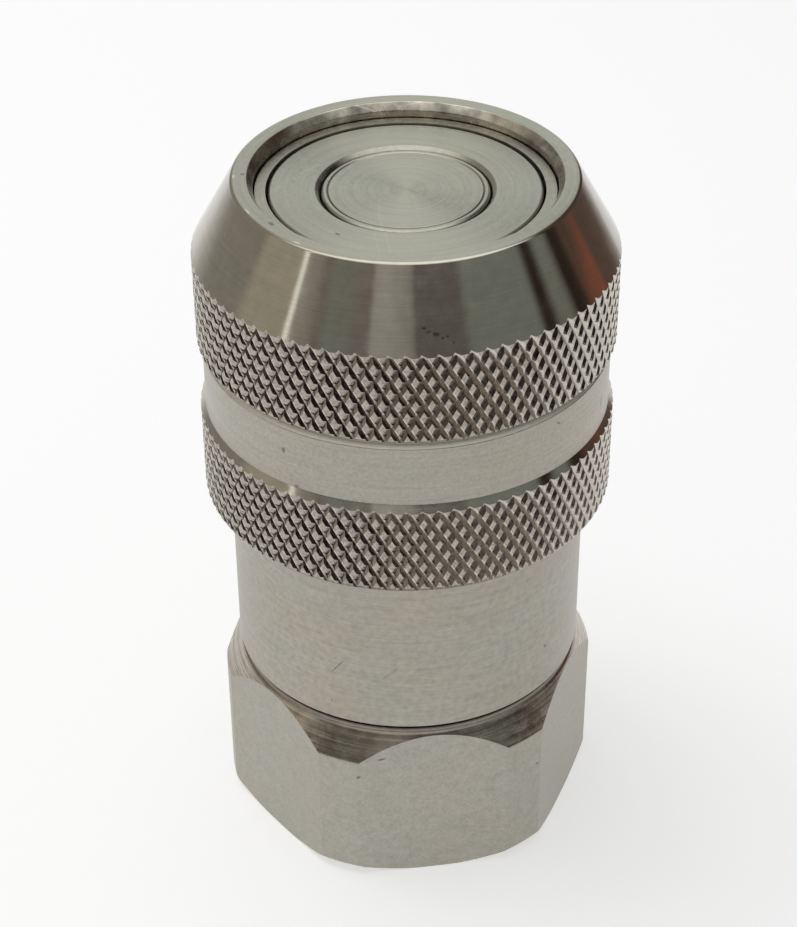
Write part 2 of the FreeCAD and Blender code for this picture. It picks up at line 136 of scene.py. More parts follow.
class Graph:
    """A node tree with short calls for the nodes that the finishes and shapes are made of."""

    def __init__(self, tree: NodeTree) -> None:
        """Keep the tree that the nodes go into."""
        self.tree = tree

    def add(self, kind: str, inputs: dict[int | str, object] | None = None, pick: int | str = 0,
            **settings: object) -> Value:
        """Add a node and feed its inputs.

        Args:
            kind: The node's type name.
            inputs: What goes into its sockets, by their names or places.
            pick: The name or place of the output to return.
            settings: Attributes of the node to set.

        Returns:
            One of the node's outputs.
        """
        node = self.tree.nodes.new(kind)
        for name, value in settings.items():
            setattr(node, name, value)
        for key, value in (inputs or {}).items():
            self.feed(node.inputs[key], value)
        return Value(self, node.outputs[pick])

    def feed(self, socket: NodeSocket, value: object) -> None:
        """Link a value into a socket, or set the socket to plain data.

        Args:
            socket: The input to feed.
            value: A value, or a number, vector, colour, object or material.
        """
        if isinstance(value, Value):
            self.tree.links.new(value.socket, socket)
        else:
            socket.default_value = value

    def math(self, operation: str, *values: Number, clamp: bool = False) -> Value:
        """Reckon with one to three numbers or values, and clamp the result to 0 and 1 if told to."""
        return self.add("ShaderNodeMath", dict(enumerate(values)), operation=operation, use_clamp=clamp)

    def join(self, *parts: Number) -> Value:
        """Combine three numbers into a vector."""
        return self.add("ShaderNodeCombineXYZ", dict(enumerate(parts)))

    def split(self, vector: Value) -> list[Value]:
        """Separate a vector into its three parts."""
        node = self.add("ShaderNodeSeparateXYZ", {0: vector}).socket.node
        return [Value(self, socket) for socket in node.outputs]

    def noise(self, vector: Value, scale: float, detail: float) -> Value:
        """Add a noise pattern, as a grey value."""
        return self.add("ShaderNodeTexNoise", {"Vector": vector, "Scale": scale, "Detail": detail})

    def ray(self, kind: str) -> Value:
        """1 for rays of one kind, and 0 for the rest."""
        return self.add("ShaderNodeLightPath", pick=kind)

    def tint(self, factor: Number, first: Tone, second: Tone, blend: str = "MIX") -> Value:
        """Mix two colours, with the share of the second one as the factor."""
        under, over = [(*part, 1.0) if isinstance(part, tuple) else part for part in (first, second)]
        return self.add("ShaderNodeMix", {0: factor, 6: under, 7: over}, 2, data_type="RGBA", blend_type=blend)


class Surface(Graph):
    """The node tree of a new material."""

    def __init__(self, name: str) -> None:
        """Start the material.

        Args:
            name: The material's name.
        """
        self.material = bpy.data.materials.new(name)
        self.material.use_nodes = True
        super().__init__(self.material.node_tree)

    @cached_property
    def place(self) -> Value:
        """The place on the coupler, in millimetres."""
        metres = self.add("ShaderNodeTexCoord", pick="Object")
        return self.add("ShaderNodeVectorMath", {0: metres, "Scale": 1 / MM}, operation="SCALE")

    @cached_property
    def round_axis(self) -> tuple[Value, Value, Value, Value]:
        """The place's x, y and z and its distance from the axis, in millimetres."""
        x, y, z = self.split(self.place)
        return x, y, z, self.math("SQRT", x * x + y * y)

    def dress(self, inputs: dict[str, object]) -> None:
        """Feed sockets of the material's shader.

        Args:
            inputs: What goes into the sockets, by their names.
        """
        sockets = self.tree.nodes["Principled BSDF"].inputs
        for name, value in inputs.items():
            self.feed(sockets[name], value)

    def emboss(self, height: Value, depth: float, strength: float) -> None:
        """Give the surface a pattern as its relief, with a depth in millimetres."""
        relief = {"Strength": strength, "Distance": depth * MM, "Height": height}
        self.dress({"Normal": self.add("ShaderNodeBump", relief)})


@dataclass(frozen=True)
class Mark:
    """A nick, pit or scratch on a turned surface, or an arc of painted shade.

    Attributes:
        bearing: Degrees from the front, toward +X.
        height: Millimetres above the port end.
        radius: Millimetres from the axis.
        reach: About how far the mark goes to each side, in millimetres.
        shade: How much of the mark's own colour shows.
        length: How many times longer than broad it is.
        lean: Degrees by which a long mark leans from level.
        bright: Whether it shines, instead of being dark.
    """

    FRAY = (0.9, 1.5)

    bearing: float
    height: float
    radius: float
    reach: float
    shade: float = 0.7
    length: float = 1.0
    lean: float = 0.0
    bright: bool = False

    @property
    def place(self) -> Vector:
        """The mark's middle."""
        turn = math.radians(self.bearing)
        return Vector((math.sin(turn) * self.radius, -math.cos(turn) * self.radius, self.height))

    @property
    def along(self) -> Vector:
        """The way in which a long mark runs, leaning from level."""
        turn, lean = math.radians(self.bearing), math.radians(self.lean)
        return Vector((math.cos(turn) * math.cos(lean), math.sin(turn) * math.cos(lean), math.sin(lean)))

    def spot(self, surface: Surface, speck: Value) -> Value:
        """Make a ragged spot at the mark's place.

        Args:
            surface: The material that has the mark.
            speck: The noise that frays its edge.

        Returns:
            1 in the mark and 0 away from it.
        """
        away = surface.add("ShaderNodeVectorMath", {0: surface.place, 1: self.place}, operation="SUBTRACT")
        along = surface.add("ShaderNodeVectorMath", {0: away, 1: self.along}, "Value", operation="DOT_PRODUCT")
        apart = surface.add("ShaderNodeVectorMath", {0: away}, "Value", operation="LENGTH")
        saved = along * along * (1.0 - 1.0 / self.length ** 2)
        near = surface.math("SQRT", surface.math("MAXIMUM", apart * apart - saved, 0.0))
        inner, outer = self.FRAY
        ragged = near + speck * self.reach
        return ragged.ramp(self.reach * inner, self.reach * outer, 1.0, 0.0)


@dataclass(frozen=True)
class Steel:
    """Stainless steel with tool marks, handling haze and small marks, and on some parts painted shade."""

    BLOTCH_DETAIL = 5.0
    SPECK_SCALE = 3.1
    SPECK_DETAIL = 3.0
    SPECK_HAZE = 0.4
    GRAIN_DETAIL = 3.0
    RING_DETAIL = 4.0
    RING_DRIFT = 0.03
    RING_SLOPE = 1.37
    LAY_TURN = 0.25
    TONE_SCALE = 0.13
    TONE_DETAIL = 1.0
    TONE_RANGE = (0.35, 0.65)
    TONE_PARTS = (0.1, -0.2, -0.6)
    SCRATCH_LEANS = (47.0, -12.0)
    SCRATCH_STRETCH = (0.16, 3.2)
    SCRATCH_SCALE = 1.3
    SCRATCH_DETAIL = 2.0
    SCRATCH_RANGE = (0.62, 0.74)
    SCRATCH_COLOUR = (0.75, 0.73, 0.68)
    SCRATCH_DEPTH = 0.6
    SOOT_AND_SHADE_COLOUR = (0.022, 0.019, 0.013)
    SOOT_AND_SHADE_FRAY = 0.12
    SOOT_AND_SHADE_SHARE = 0.95
    NICK_COLOUR = (0.92, 0.90, 0.84)
    PIT_AND_SHADE_SHARE = 0.35
    PIT_DEPTH = 3.0
    RELIEF = 0.6

    name: str
    colour: Colour = (0.43, 0.41, 0.355)
    rough: float = 0.32
    rough_swing: float = 0.08
    lay: Lay = Lay.TURNED
    line_scale: float = 5.0
    line_share: float = 0.5
    line_depth: float = 0.006
    blotch_scale: float = 0.9
    mottle: float = 0.10
    anisotropy: float = 0.45
    tone: float = 0.0
    scratch: float = 0.0
    soot_and_shade: Span | None = None
    marks: tuple[Mark, ...] = ()

    def material(self) -> Material:
        """Build the finish as a node material.

        Returns:
            The material.
        """
        surface = Surface(self.name)
        lines = self._lines(surface)
        blotch = surface.noise(surface.place, self.blotch_scale, self.BLOTCH_DETAIL)
        speck = surface.noise(surface.place, self.SPECK_SCALE, self.SPECK_DETAIL)
        shade = (lines * self.line_share + blotch * (1.0 - self.line_share)).around(1.0, self.mottle)
        colour = surface.tint(1.0, self.colour, surface.join(shade, shade, shade), "MULTIPLY")
        height = lines
        if self.tone > 0:
            colour = self._toned(surface, colour)
        if self.scratch > 0:
            scratches = self._scratches(surface)
            colour = surface.tint(scratches * self.scratch, colour, self.SCRATCH_COLOUR)
            height = height - scratches * self.SCRATCH_DEPTH
        # darkened toward the top of a band of heights: soiling together with painted shade, as under the barrel
        if self.soot_and_shade is not None:
            level = surface.round_axis[2] + speck * self.SOOT_AND_SHADE_FRAY
            colour = surface.tint(level.ramp(*self.soot_and_shade, 0.0, self.SOOT_AND_SHADE_SHARE), colour, self.SOOT_AND_SHADE_COLOUR)
        # the colour of dark marks: pits, and arcs of painted shade
        pit = tuple(part * self.PIT_AND_SHADE_SHARE for part in self.colour)
        for mark in self.marks:
            spot = mark.spot(surface, speck)
            colour = surface.tint(spot * mark.shade, colour, self.NICK_COLOUR if mark.bright else pit)
            height = height - spot * self.PIT_DEPTH
        haze = blotch * (1.0 - self.SPECK_HAZE) + speck * self.SPECK_HAZE
        rough = haze.around(self.rough, self.rough_swing)
        surface.dress({"Base Color": colour, "Metallic": 1.0, "Roughness": rough})
        if self.lay is Lay.TURNED and self.anisotropy > 0:
            tangent = surface.add("ShaderNodeTangent", direction_type="RADIAL", axis="Z")
            surface.dress({
                "Anisotropic": self.anisotropy,
                "Anisotropic Rotation": self.LAY_TURN,
                "Tangent": tangent,
            })
        surface.emboss(height, self.line_depth, self.RELIEF)
        return surface.material

    def _lines(self, surface: Surface) -> Value:
        """Make the tool marks: rings round the axis, or plain grain.

        Args:
            surface: The material.

        Returns:
            The marks as a grey pattern.
        """
        if self.lay is Lay.NONE:
            return surface.noise(surface.place, self.line_scale, self.GRAIN_DETAIL)
        x, y, z, radius = surface.round_axis
        rings = surface.join(x * self.RING_DRIFT, y * self.RING_DRIFT, z - radius * self.RING_SLOPE)
        return surface.noise(rings, self.line_scale, self.RING_DETAIL)

    def _toned(self, surface: Surface, colour: Value) -> Value:
        """Let the colour drift between warm and cool in large soft patches.

        Args:
            surface: The material.
            colour: The colour so far.

        Returns:
            The toned colour.
        """
        drift = surface.noise(surface.place, self.TONE_SCALE, self.TONE_DETAIL)
        patch = drift.ramp(*self.TONE_RANGE, -self.tone, self.tone)
        warmth = surface.join(*(patch * part + 1.0 for part in self.TONE_PARTS))
        return surface.tint(1.0, colour, warmth, "MULTIPLY")

    def _scratches(self, surface: Surface) -> Value:
        """Make faint handling scratches in two directions, wrapped round the axis.

        Args:
            surface: The material.

        Returns:
            1 in a scratch and 0 beside it.
        """
        x, y, z, radius = surface.round_axis
        around = surface.math("ARCTAN2", x, y * -1.0) * radius
        found: Number = 0.0
        for lean in self.SCRATCH_LEANS:
            rise, run = math.sin(math.radians(lean)), math.cos(math.radians(lean))
            along, across = around * run + z * rise, z * run - around * rise
            long, thin = self.SCRATCH_STRETCH
            drawn_out = surface.join(along * long, across * thin, lean)
            streaks = surface.noise(drawn_out, self.SCRATCH_SCALE, self.SCRATCH_DETAIL)
            found = surface.math("MAXIMUM", found, streaks.ramp(*self.SCRATCH_RANGE))
        return found


@dataclass(frozen=True)
class Polymer:
    """Seal rubber or fluoropolymer with a faint moulded grain."""

    name: str
    colour: Colour
    rough: float
    rough_swing: float = 0.08
    grain_scale: float = 0.9
    grain_detail: float = 3.0
    grain_depth: float = 0.02
    relief: float = 0.3
    wear: float = 1.35
    dust: float = 0.01

    def material(self) -> Material:
        """Build the finish as a node material.

        Returns:
            The material.
        """
        surface = Surface(self.name)
        grain = surface.noise(surface.place, self.grain_scale, self.grain_detail)
        worn = tuple(min(1.0, part * self.wear + self.dust) for part in self.colour)
        surface.dress({
            "Base Color": surface.tint(grain, self.colour, worn),
            "Roughness": grain.around(self.rough, self.rough_swing),
        })
        surface.emboss(grain, self.grain_depth, self.relief)
        return surface.material


@dataclass(frozen=True)
class Corner:
    """A corner of a half profile in millimetres, with the length of edge that its rounding takes up."""

    radius: float
    height: float
    ease: float = 0.0

    @property
    def point(self) -> Vector:
        """The corner in the plane of the profile."""
        return Vector((self.radius, self.height))


class Turning:
    """A half profile, drawn from corner to corner in millimetres and revolved about the coupler's axis."""

    EASE_STEPS = 7
    EASE_SHARE = 0.45

    def __init__(self, radius: float, height: float, ease: float = 0.0) -> None:
        """Start the profile at its first corner."""
        self.corners = [Corner(radius, height, ease)]

    def to(self, radius: float, height: float, ease: float = 0.0) -> "Turning":
        """Go on to a corner, and return the profile for the next step."""
        self.corners.append(Corner(radius, height, ease))
        return self

    def out(self, radius: float, ease: float = 0.0) -> "Turning":
        """Go on to another radius at the same height."""
        return self.to(radius, self.corners[-1].height, ease)

    def up(self, height: float, ease: float = 0.0) -> "Turning":
        """Go on to another height at the same radius."""
        return self.to(self.corners[-1].radius, height, ease)

    def outline(self, closed: bool) -> list[Span]:
        """Round the corners.

        Args:
            closed: Whether the last corner joins the first.

        Returns:
            The outline's points in millimetres.
        """
        points: list[Span] = []
        count = len(self.corners)
        for index, corner in enumerate(self.corners):
            inside = closed or 0 < index < count - 1
            if corner.ease > 0 and inside:
                points.extend(self._eased(corner, self.corners[index - 1], self.corners[(index + 1) % count]))
            else:
                points.append(tuple(corner.point))
        return points

    def _eased(self, corner: Corner, before: Corner, after: Corner) -> list[Span]:
        """Replace one corner by a short arc between its two edges.

        Args:
            corner: The corner.
            before: The corner before it.
            after: The corner after it.

        Returns:
            The arc's points.
        """
        here = corner.point
        back, ahead = before.point - here, after.point - here
        setback = min(corner.ease, back.length * self.EASE_SHARE, ahead.length * self.EASE_SHARE)
        start = here + back.normalized() * setback
        end = here + ahead.normalized() * setback
        steps = [step / self.EASE_STEPS for step in range(self.EASE_STEPS + 1)]
        return [tuple(start * (1 - t) ** 2 + here * 2 * t * (1 - t) + end * t ** 2) for t in steps]

    def into(self, mesh: BMesh, segments: int, closed: bool = True) -> tuple[list[BMVert], list[BMVert]]:
        """Add the revolved surface to a mesh, in metres.

        Args:
            mesh: The mesh that takes the surface.
            segments: How many steps make a full turn.
            closed: Whether the last corner joins the first.

        Returns:
            The points of its first and of its last ring.
        """
        turns = [step * FULL_TURN / segments for step in range(segments)]
        rings = []
        for radius, height in self.outline(closed):
            spots = [(radius * math.cos(turn) * MM, radius * math.sin(turn) * MM, height * MM) for turn in turns]
            rings.append([mesh.verts.new(spot) for spot in spots])
        for index in range(len(rings) if closed else len(rings) - 1):
            low, high = rings[index], rings[(index + 1) % len(rings)]
            for step in range(segments):
                after = (step + 1) % segments
                mesh.faces.new((low[step], low[after], high[after], high[step]))
        return rings[0], rings[-1]


def zip_rings(mesh: BMesh, first: Sequence[BMVert], second: Sequence[BMVert]) -> None:
    """Join two rings about the axis that have different numbers of points by a strip of triangles.

    Args:
        mesh: The mesh that holds both rings.
        first: The points of one ring.
        second: The points of the other ring.
    """
    def turn(point: BMVert) -> float:
        """Angle of a point about the axis, from just below zero up."""
        return (math.atan2(point.co.y, point.co.x) + TURN_SLACK) % FULL_TURN

    rings = [sorted(ring, key=turn) for ring in (first, second)]
    turns = [[turn(point) for point in ring] + [turn(ring[0]) + FULL_TURN] for ring in rings]
    counts = [len(ring) for ring in rings]
    here = [0, 0]
    while here[0] < counts[0] or here[1] < counts[1]:
        ahead = [turns[side][here[side] + 1] if here[side] < counts[side] else math.inf for side in (0, 1)]
        side = 0 if ahead[0] <= ahead[1] else 1
        corners = [rings[each][here[each] % counts[each]] for each in (0, 1)]
        corners.append(rings[side][(here[side] + 1) % counts[side]])
        mesh.faces.new(corners)
        here[side] += 1


def everything(mesh: BMesh) -> list[BMVert | BMEdge | BMFace]:
    """All parts of a mesh as they are now."""
    return mesh.verts[:] + mesh.edges[:] + mesh.faces[:]


def new_object(name: str, data: ID) -> Object:
    """Put new data into the scene.

    Args:
        name: The object's name.
        data: Its mesh, lamp or camera.

    Returns:
        The object.
    """
    item = bpy.data.objects.new(name, data)
    bpy.context.scene.collection.objects.link(item)
    return item


def mesh_data(name: str, mesh: BMesh) -> Mesh:
    """Turn a working mesh into mesh data, and free it.

    Args:
        name: The data's name.
        mesh: The working mesh.

    Returns:
        The data.
    """
    data = bpy.data.meshes.new(name)
    mesh.to_mesh(data)
    mesh.free()
    return data


def finish_mesh(name: str, mesh: BMesh, material: Material, crease: float = 32.0) -> Object:
    """Weld a mesh, turn its faces outward and put it into the scene as one piece.

    Args:
        name: The piece's name.
        mesh: The mesh, freed afterwards.
        material: The piece's finish.
        crease: Edges that bend by more than this many degrees stay crisp.

    Returns:
        The piece.
    """
    bmesh.ops.remove_doubles(mesh, verts=mesh.verts[:], dist=WELD)
    bmesh.ops.dissolve_degenerate(mesh, edges=mesh.edges[:], dist=SLIVER)
    bmesh.ops.recalc_face_normals(mesh, faces=mesh.faces[:])
    data = mesh_data(name, mesh)
    data.shade_smooth()
    data.set_sharp_from_angle(angle=math.radians(crease))
    data.materials.clear()
    data.materials.append(material)
    return new_object(name, data)


def stand_for(piece: Object, node: str, body: str) -> None:
    """Let a piece ride on a body in place of a solid.

    Args:
        piece: The piece.
        node: The solid that it stands for.
        body: The body that it rides on.
    """
    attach(piece, body)
    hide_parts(node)
    log.info("%s: %d faces on %s", piece.name, len(piece.data.polygons), body)


class Shape(Graph):
    """A geometry node tree with named inputs, which is turned into a plain mesh."""

    def __init__(self, name: str, **values: float) -> None:
        """Start the tree.

        Args:
            name: The tree's name.
            values: The inputs' names and values, with whole numbers for counts.
        """
        super().__init__(bpy.data.node_groups.new(name, "GeometryNodeTree"))
        self.values = values
        sockets = self.tree.interface
        for label, value in values.items():
            kind = "NodeSocketInt" if isinstance(value, int) else "NodeSocketFloat"
            sockets.new_socket(name=label, in_out="INPUT", socket_type=kind)
        sockets.new_socket(name="Geometry", in_out="OUTPUT", socket_type="NodeSocketGeometry")
        outputs = self.tree.nodes.new("NodeGroupInput").outputs
        self.given = {label: Value(self, outputs[label]) for label in values}

    def into(self, mesh: BMesh, geometry: Value, material: Material,
             helpers: Sequence[Object] = ()) -> list[BMVert]:
        """End the tree, evaluate it once, add the result to a mesh and clear away what it needed.

        Args:
            mesh: The mesh that takes the result.
            geometry: The last geometry of the tree.
            material: The finish.
            helpers: Objects that only the nodes use.

        Returns:
            The points that were added.
        """
        real = self.add("GeometryNodeRealizeInstances", {0: geometry})
        dressed = self.add("GeometryNodeSetMaterial", {"Geometry": real, "Material": material})
        self.feed(self.tree.nodes.new("NodeGroupOutput").inputs[0], dressed)
        carrier = new_object(self.tree.name, bpy.data.meshes.new(self.tree.name))
        modifier = carrier.modifiers.new("shape", "NODES")
        modifier.node_group = self.tree
        for item in self.tree.interface.items_tree:
            if item.item_type == "SOCKET" and item.in_out == "INPUT":
                modifier[item.identifier] = self.values[item.name]
        bpy.context.view_layer.update()
        depsgraph = bpy.context.evaluated_depsgraph_get()
        data = bpy.data.meshes.new_from_object(carrier.evaluated_get(depsgraph), depsgraph=depsgraph)
        for item in (carrier, *helpers):
            bpy.data.objects.remove(item)
        known = len(mesh.verts)
        mesh.from_mesh(data)
        bpy.data.meshes.remove(data)
        mesh.verts.ensure_lookup_table()
        return mesh.verts[known:]


@dataclass
class KnurlBand:
    """A rolled diamond knurl between two heights, run out into a bevel at both ends.

    The ridge, land and groove sizes are shares of a tooth's width and of the knurl's depth.
    """

    LEVEL = 1e-3
    UPPER_EDGE = 0.01
    FLAT_WELD = 1e-5
    FLAT_CUT = 1e-6

    name: str
    foot: float
    low: float
    high: float
    end: float
    crest: float
    depth: float
    teeth: int
    half_rows: int
    weld: float = 0.002
    ridge_flank: float = 0.21
    ridge_width: float = 0.08
    ridge_notch: float = 0.55
    land_flank: float = 0.24
    land_fall: float = 0.12
    minor_flank: float = 0.29
    minor_depth: float = 1.0
    minor_end: float = 0.78
    upper_rise: float = 0.55

    def column(self) -> Object:
        """Make one column of teeth, cut to the band's two bevels and bent round the axis.

        Returns:
            A helper object that holds the column.
        """
        mesh = bmesh.new()
        for half_row in range(-1, self.half_rows + 2):
            self._tooth(mesh, half_row)
        bmesh.ops.remove_doubles(mesh, verts=mesh.verts[:], dist=self.FLAT_WELD)
        self._run_out(mesh, self.high, self.end)
        self._run_out(mesh, self.low, self.foot)
        for point in mesh.verts:
            across, height, radius = point.co
            turn = across * FULL_TURN / self.teeth
            point.co = (radius * math.cos(turn) * MM, radius * math.sin(turn) * MM, height * MM)
        name = self.name + "_column"
        return new_object(name, mesh_data(name, mesh))

    def _tooth(self, mesh: BMesh, half_row: int) -> None:
        """Add one tooth in the flat: a ridge, a land and the flanks of the grooves beside them.

        The groove that falls to the right was rolled last, so the rising grooves only notch its ridge and
        close up toward its other flank.

        Args:
            mesh: The mesh that takes the tooth, with teeth across, height and radius as its axes.
            half_row: The tooth's place up the column.
        """
        rising = -((half_row + 1) // 2)
        falling = rising + half_row
        near, far = self.ridge_flank, self.ridge_flank + self.ridge_width
        notched = near * (1 - self.ridge_notch)
        brink = 1 - self.land_flank
        foot = brink + self.land_flank * (self.minor_end - self.land_fall) / (1 - self.land_fall)
        dip, side = far + self.ridge_width, self.minor_flank
        notch, fall, deep, shut = self.ridge_notch, self.land_fall, self.minor_depth, self.minor_end
        outlines = (
            ((0, 0, 1), (notched, 0, notch), (near, side, 0), (near, 1 - side, 0), (notched, 1, notch), (0, 1, 1)),
            ((near, side, 0), (far, side, 0), (far, 1 - side, 0), (near, 1 - side, 0)),
            ((notched, 0, notch), (far, 0, notch), (far, side, 0), (near, side, 0)),
            ((notched, 1, notch), (near, 1 - side, 0), (far, 1 - side, 0), (far, 1, notch)),
            ((far, side, 0), (brink, side, fall), (brink, 1 - side, fall), (far, 1 - side, 0)),
            ((far, 0, notch), (dip, 0, deep), (far, side, 0)),
            ((dip, 0, deep), (foot, 0, shut), (brink, side, fall), (far, side, 0)),
            ((far, 1, notch), (far, 1 - side, 0), (dip, 1, deep)),
            ((dip, 1, deep), (far, 1 - side, 0), (brink, 1 - side, fall), (foot, 1, shut)),
            ((foot, 0, shut), (1, 0, 1), (1, 1, 1), (foot, 1, shut), (brink, 1 - side, fall), (brink, side, fall)),
        )
        row_height = (self.high - self.low) * 2 / self.half_rows
        for outline in outlines:
            corners = []
            for u, v, share in outline:
                across = (falling + u + rising + v) / 2
                height = self.low + (falling + u - rising - v) / 2 * row_height
                kept = self.upper_rise if height > self.high - self.UPPER_EDGE else 1.0
                corners.append(mesh.verts.new((across, height, self.crest - self.depth * share * kept)))
            mesh.faces.new(corners)

    def _run_out(self, mesh: BMesh, start: float, stop: float) -> None:
        """Cut the flat teeth by a bevel that falls from the crest to the depth of the grooves.

        Args:
            mesh: The flat teeth.
            start: The height where the bevel leaves the crest.
            stop: The height where it has run out and the band ends.
        """
        way = math.copysign(1.0, stop - start)
        slope = self.depth / abs(stop - start)
        bmesh.ops.bisect_plane(mesh, geom=everything(mesh), dist=self.FLAT_CUT, plane_co=(0, start, self.crest),
                               plane_no=(0, slope * way, 1))
        for point in mesh.verts:
            past = max(0.0, way * (point.co.y - start))
            point.co.z = min(point.co.z, self.crest - slope * past)
        bmesh.ops.bisect_plane(mesh, geom=everything(mesh), dist=self.FLAT_CUT, plane_co=(0, stop, 0),
                               plane_no=(0, way, 0), clear_outer=True)

    def into(self, mesh: BMesh, material: Material) -> tuple[list[BMVert], list[BMVert]]:
        """Repeat the column round the axis, weld the copies and add the band to a mesh, in metres.

        Args:
            mesh: The mesh that takes the band.
            material: The finish.

        Returns:
            The points of the ring at its foot and of the ring at its end.
        """
        column = self.column()
        shape = Shape(self.name, Teeth=self.teeth, Weld=self.weld * MM)
        teeth = shape.given["Teeth"]
        turn = shape.add("GeometryNodeInputIndex") * shape.math("DIVIDE", FULL_TURN, teeth)
        copies = shape.add("GeometryNodeInstanceOnPoints", {
            "Points": shape.add("GeometryNodePoints", {"Count": teeth}),
            "Instance": shape.add("GeometryNodeObjectInfo", {"Object": column}, "Geometry"),
            "Rotation": shape.join(0.0, 0.0, turn),
        })
        real = shape.add("GeometryNodeRealizeInstances", {0: copies})
        welded = shape.add("GeometryNodeMergeByDistance", {"Geometry": real, "Distance": shape.given["Weld"]})
        points = shape.into(mesh, welded, material, [column])
        log.info("%s: %d points", self.name, len(points))
        foot, end = ([point for point in points if abs(point.co.z / MM - height) < self.LEVEL]
                     for height in (self.foot, self.end))
        return foot, end


@dataclass
class CoilSpring:
    """A wound wire spring between two seats."""

    node: str
    joint: str
    low: float
    high: float
    coil: float
    wire: float
    turns: float
    travel: float
    gap: float = 0.03
    steps: int = 72
    sides: int = 20

    def build(self, material: Material) -> None:
        """Build the spring.

        Args:
            material: The finish.
        """
        start = self.low + self.gap + self.wire
        rise = self.high - self.gap - self.wire - start
        shape = Shape(self.node, Coil=self.coil * MM, Wire=self.wire * MM, Rise=rise * MM, Turns=self.turns,
                      Start=start * MM)
        given = shape.given
        path = shape.add("GeometryNodeCurveSpiral", {
            "Resolution": self.steps,
            "Rotations": given["Turns"],
            "Start Radius": given["Coil"],
            "End Radius": given["Coil"],
            "Height": given["Rise"],
        })
        ring = {"Resolution": self.sides, "Radius": given["Wire"]}
        section = shape.add("GeometryNodeCurvePrimitiveCircle", ring)
        wound = shape.add("GeometryNodeCurveToMesh", {"Curve": path, "Profile Curve": section, "Fill Caps": True})
        place = shape.join(0.0, 0.0, given["Start"])
        lifted = shape.add("GeometryNodeTransform", {"Geometry": wound, "Translation": place})
        mesh = bmesh.new()
        shape.into(mesh, lifted, material)
        piece = finish_mesh(self.node + "_wire", mesh, material)
        stand_for(piece, self.node, "barrel")
        rest = self.high - self.low
        self.low * MM
        (rest - self.travel) / rest
        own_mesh(piece)


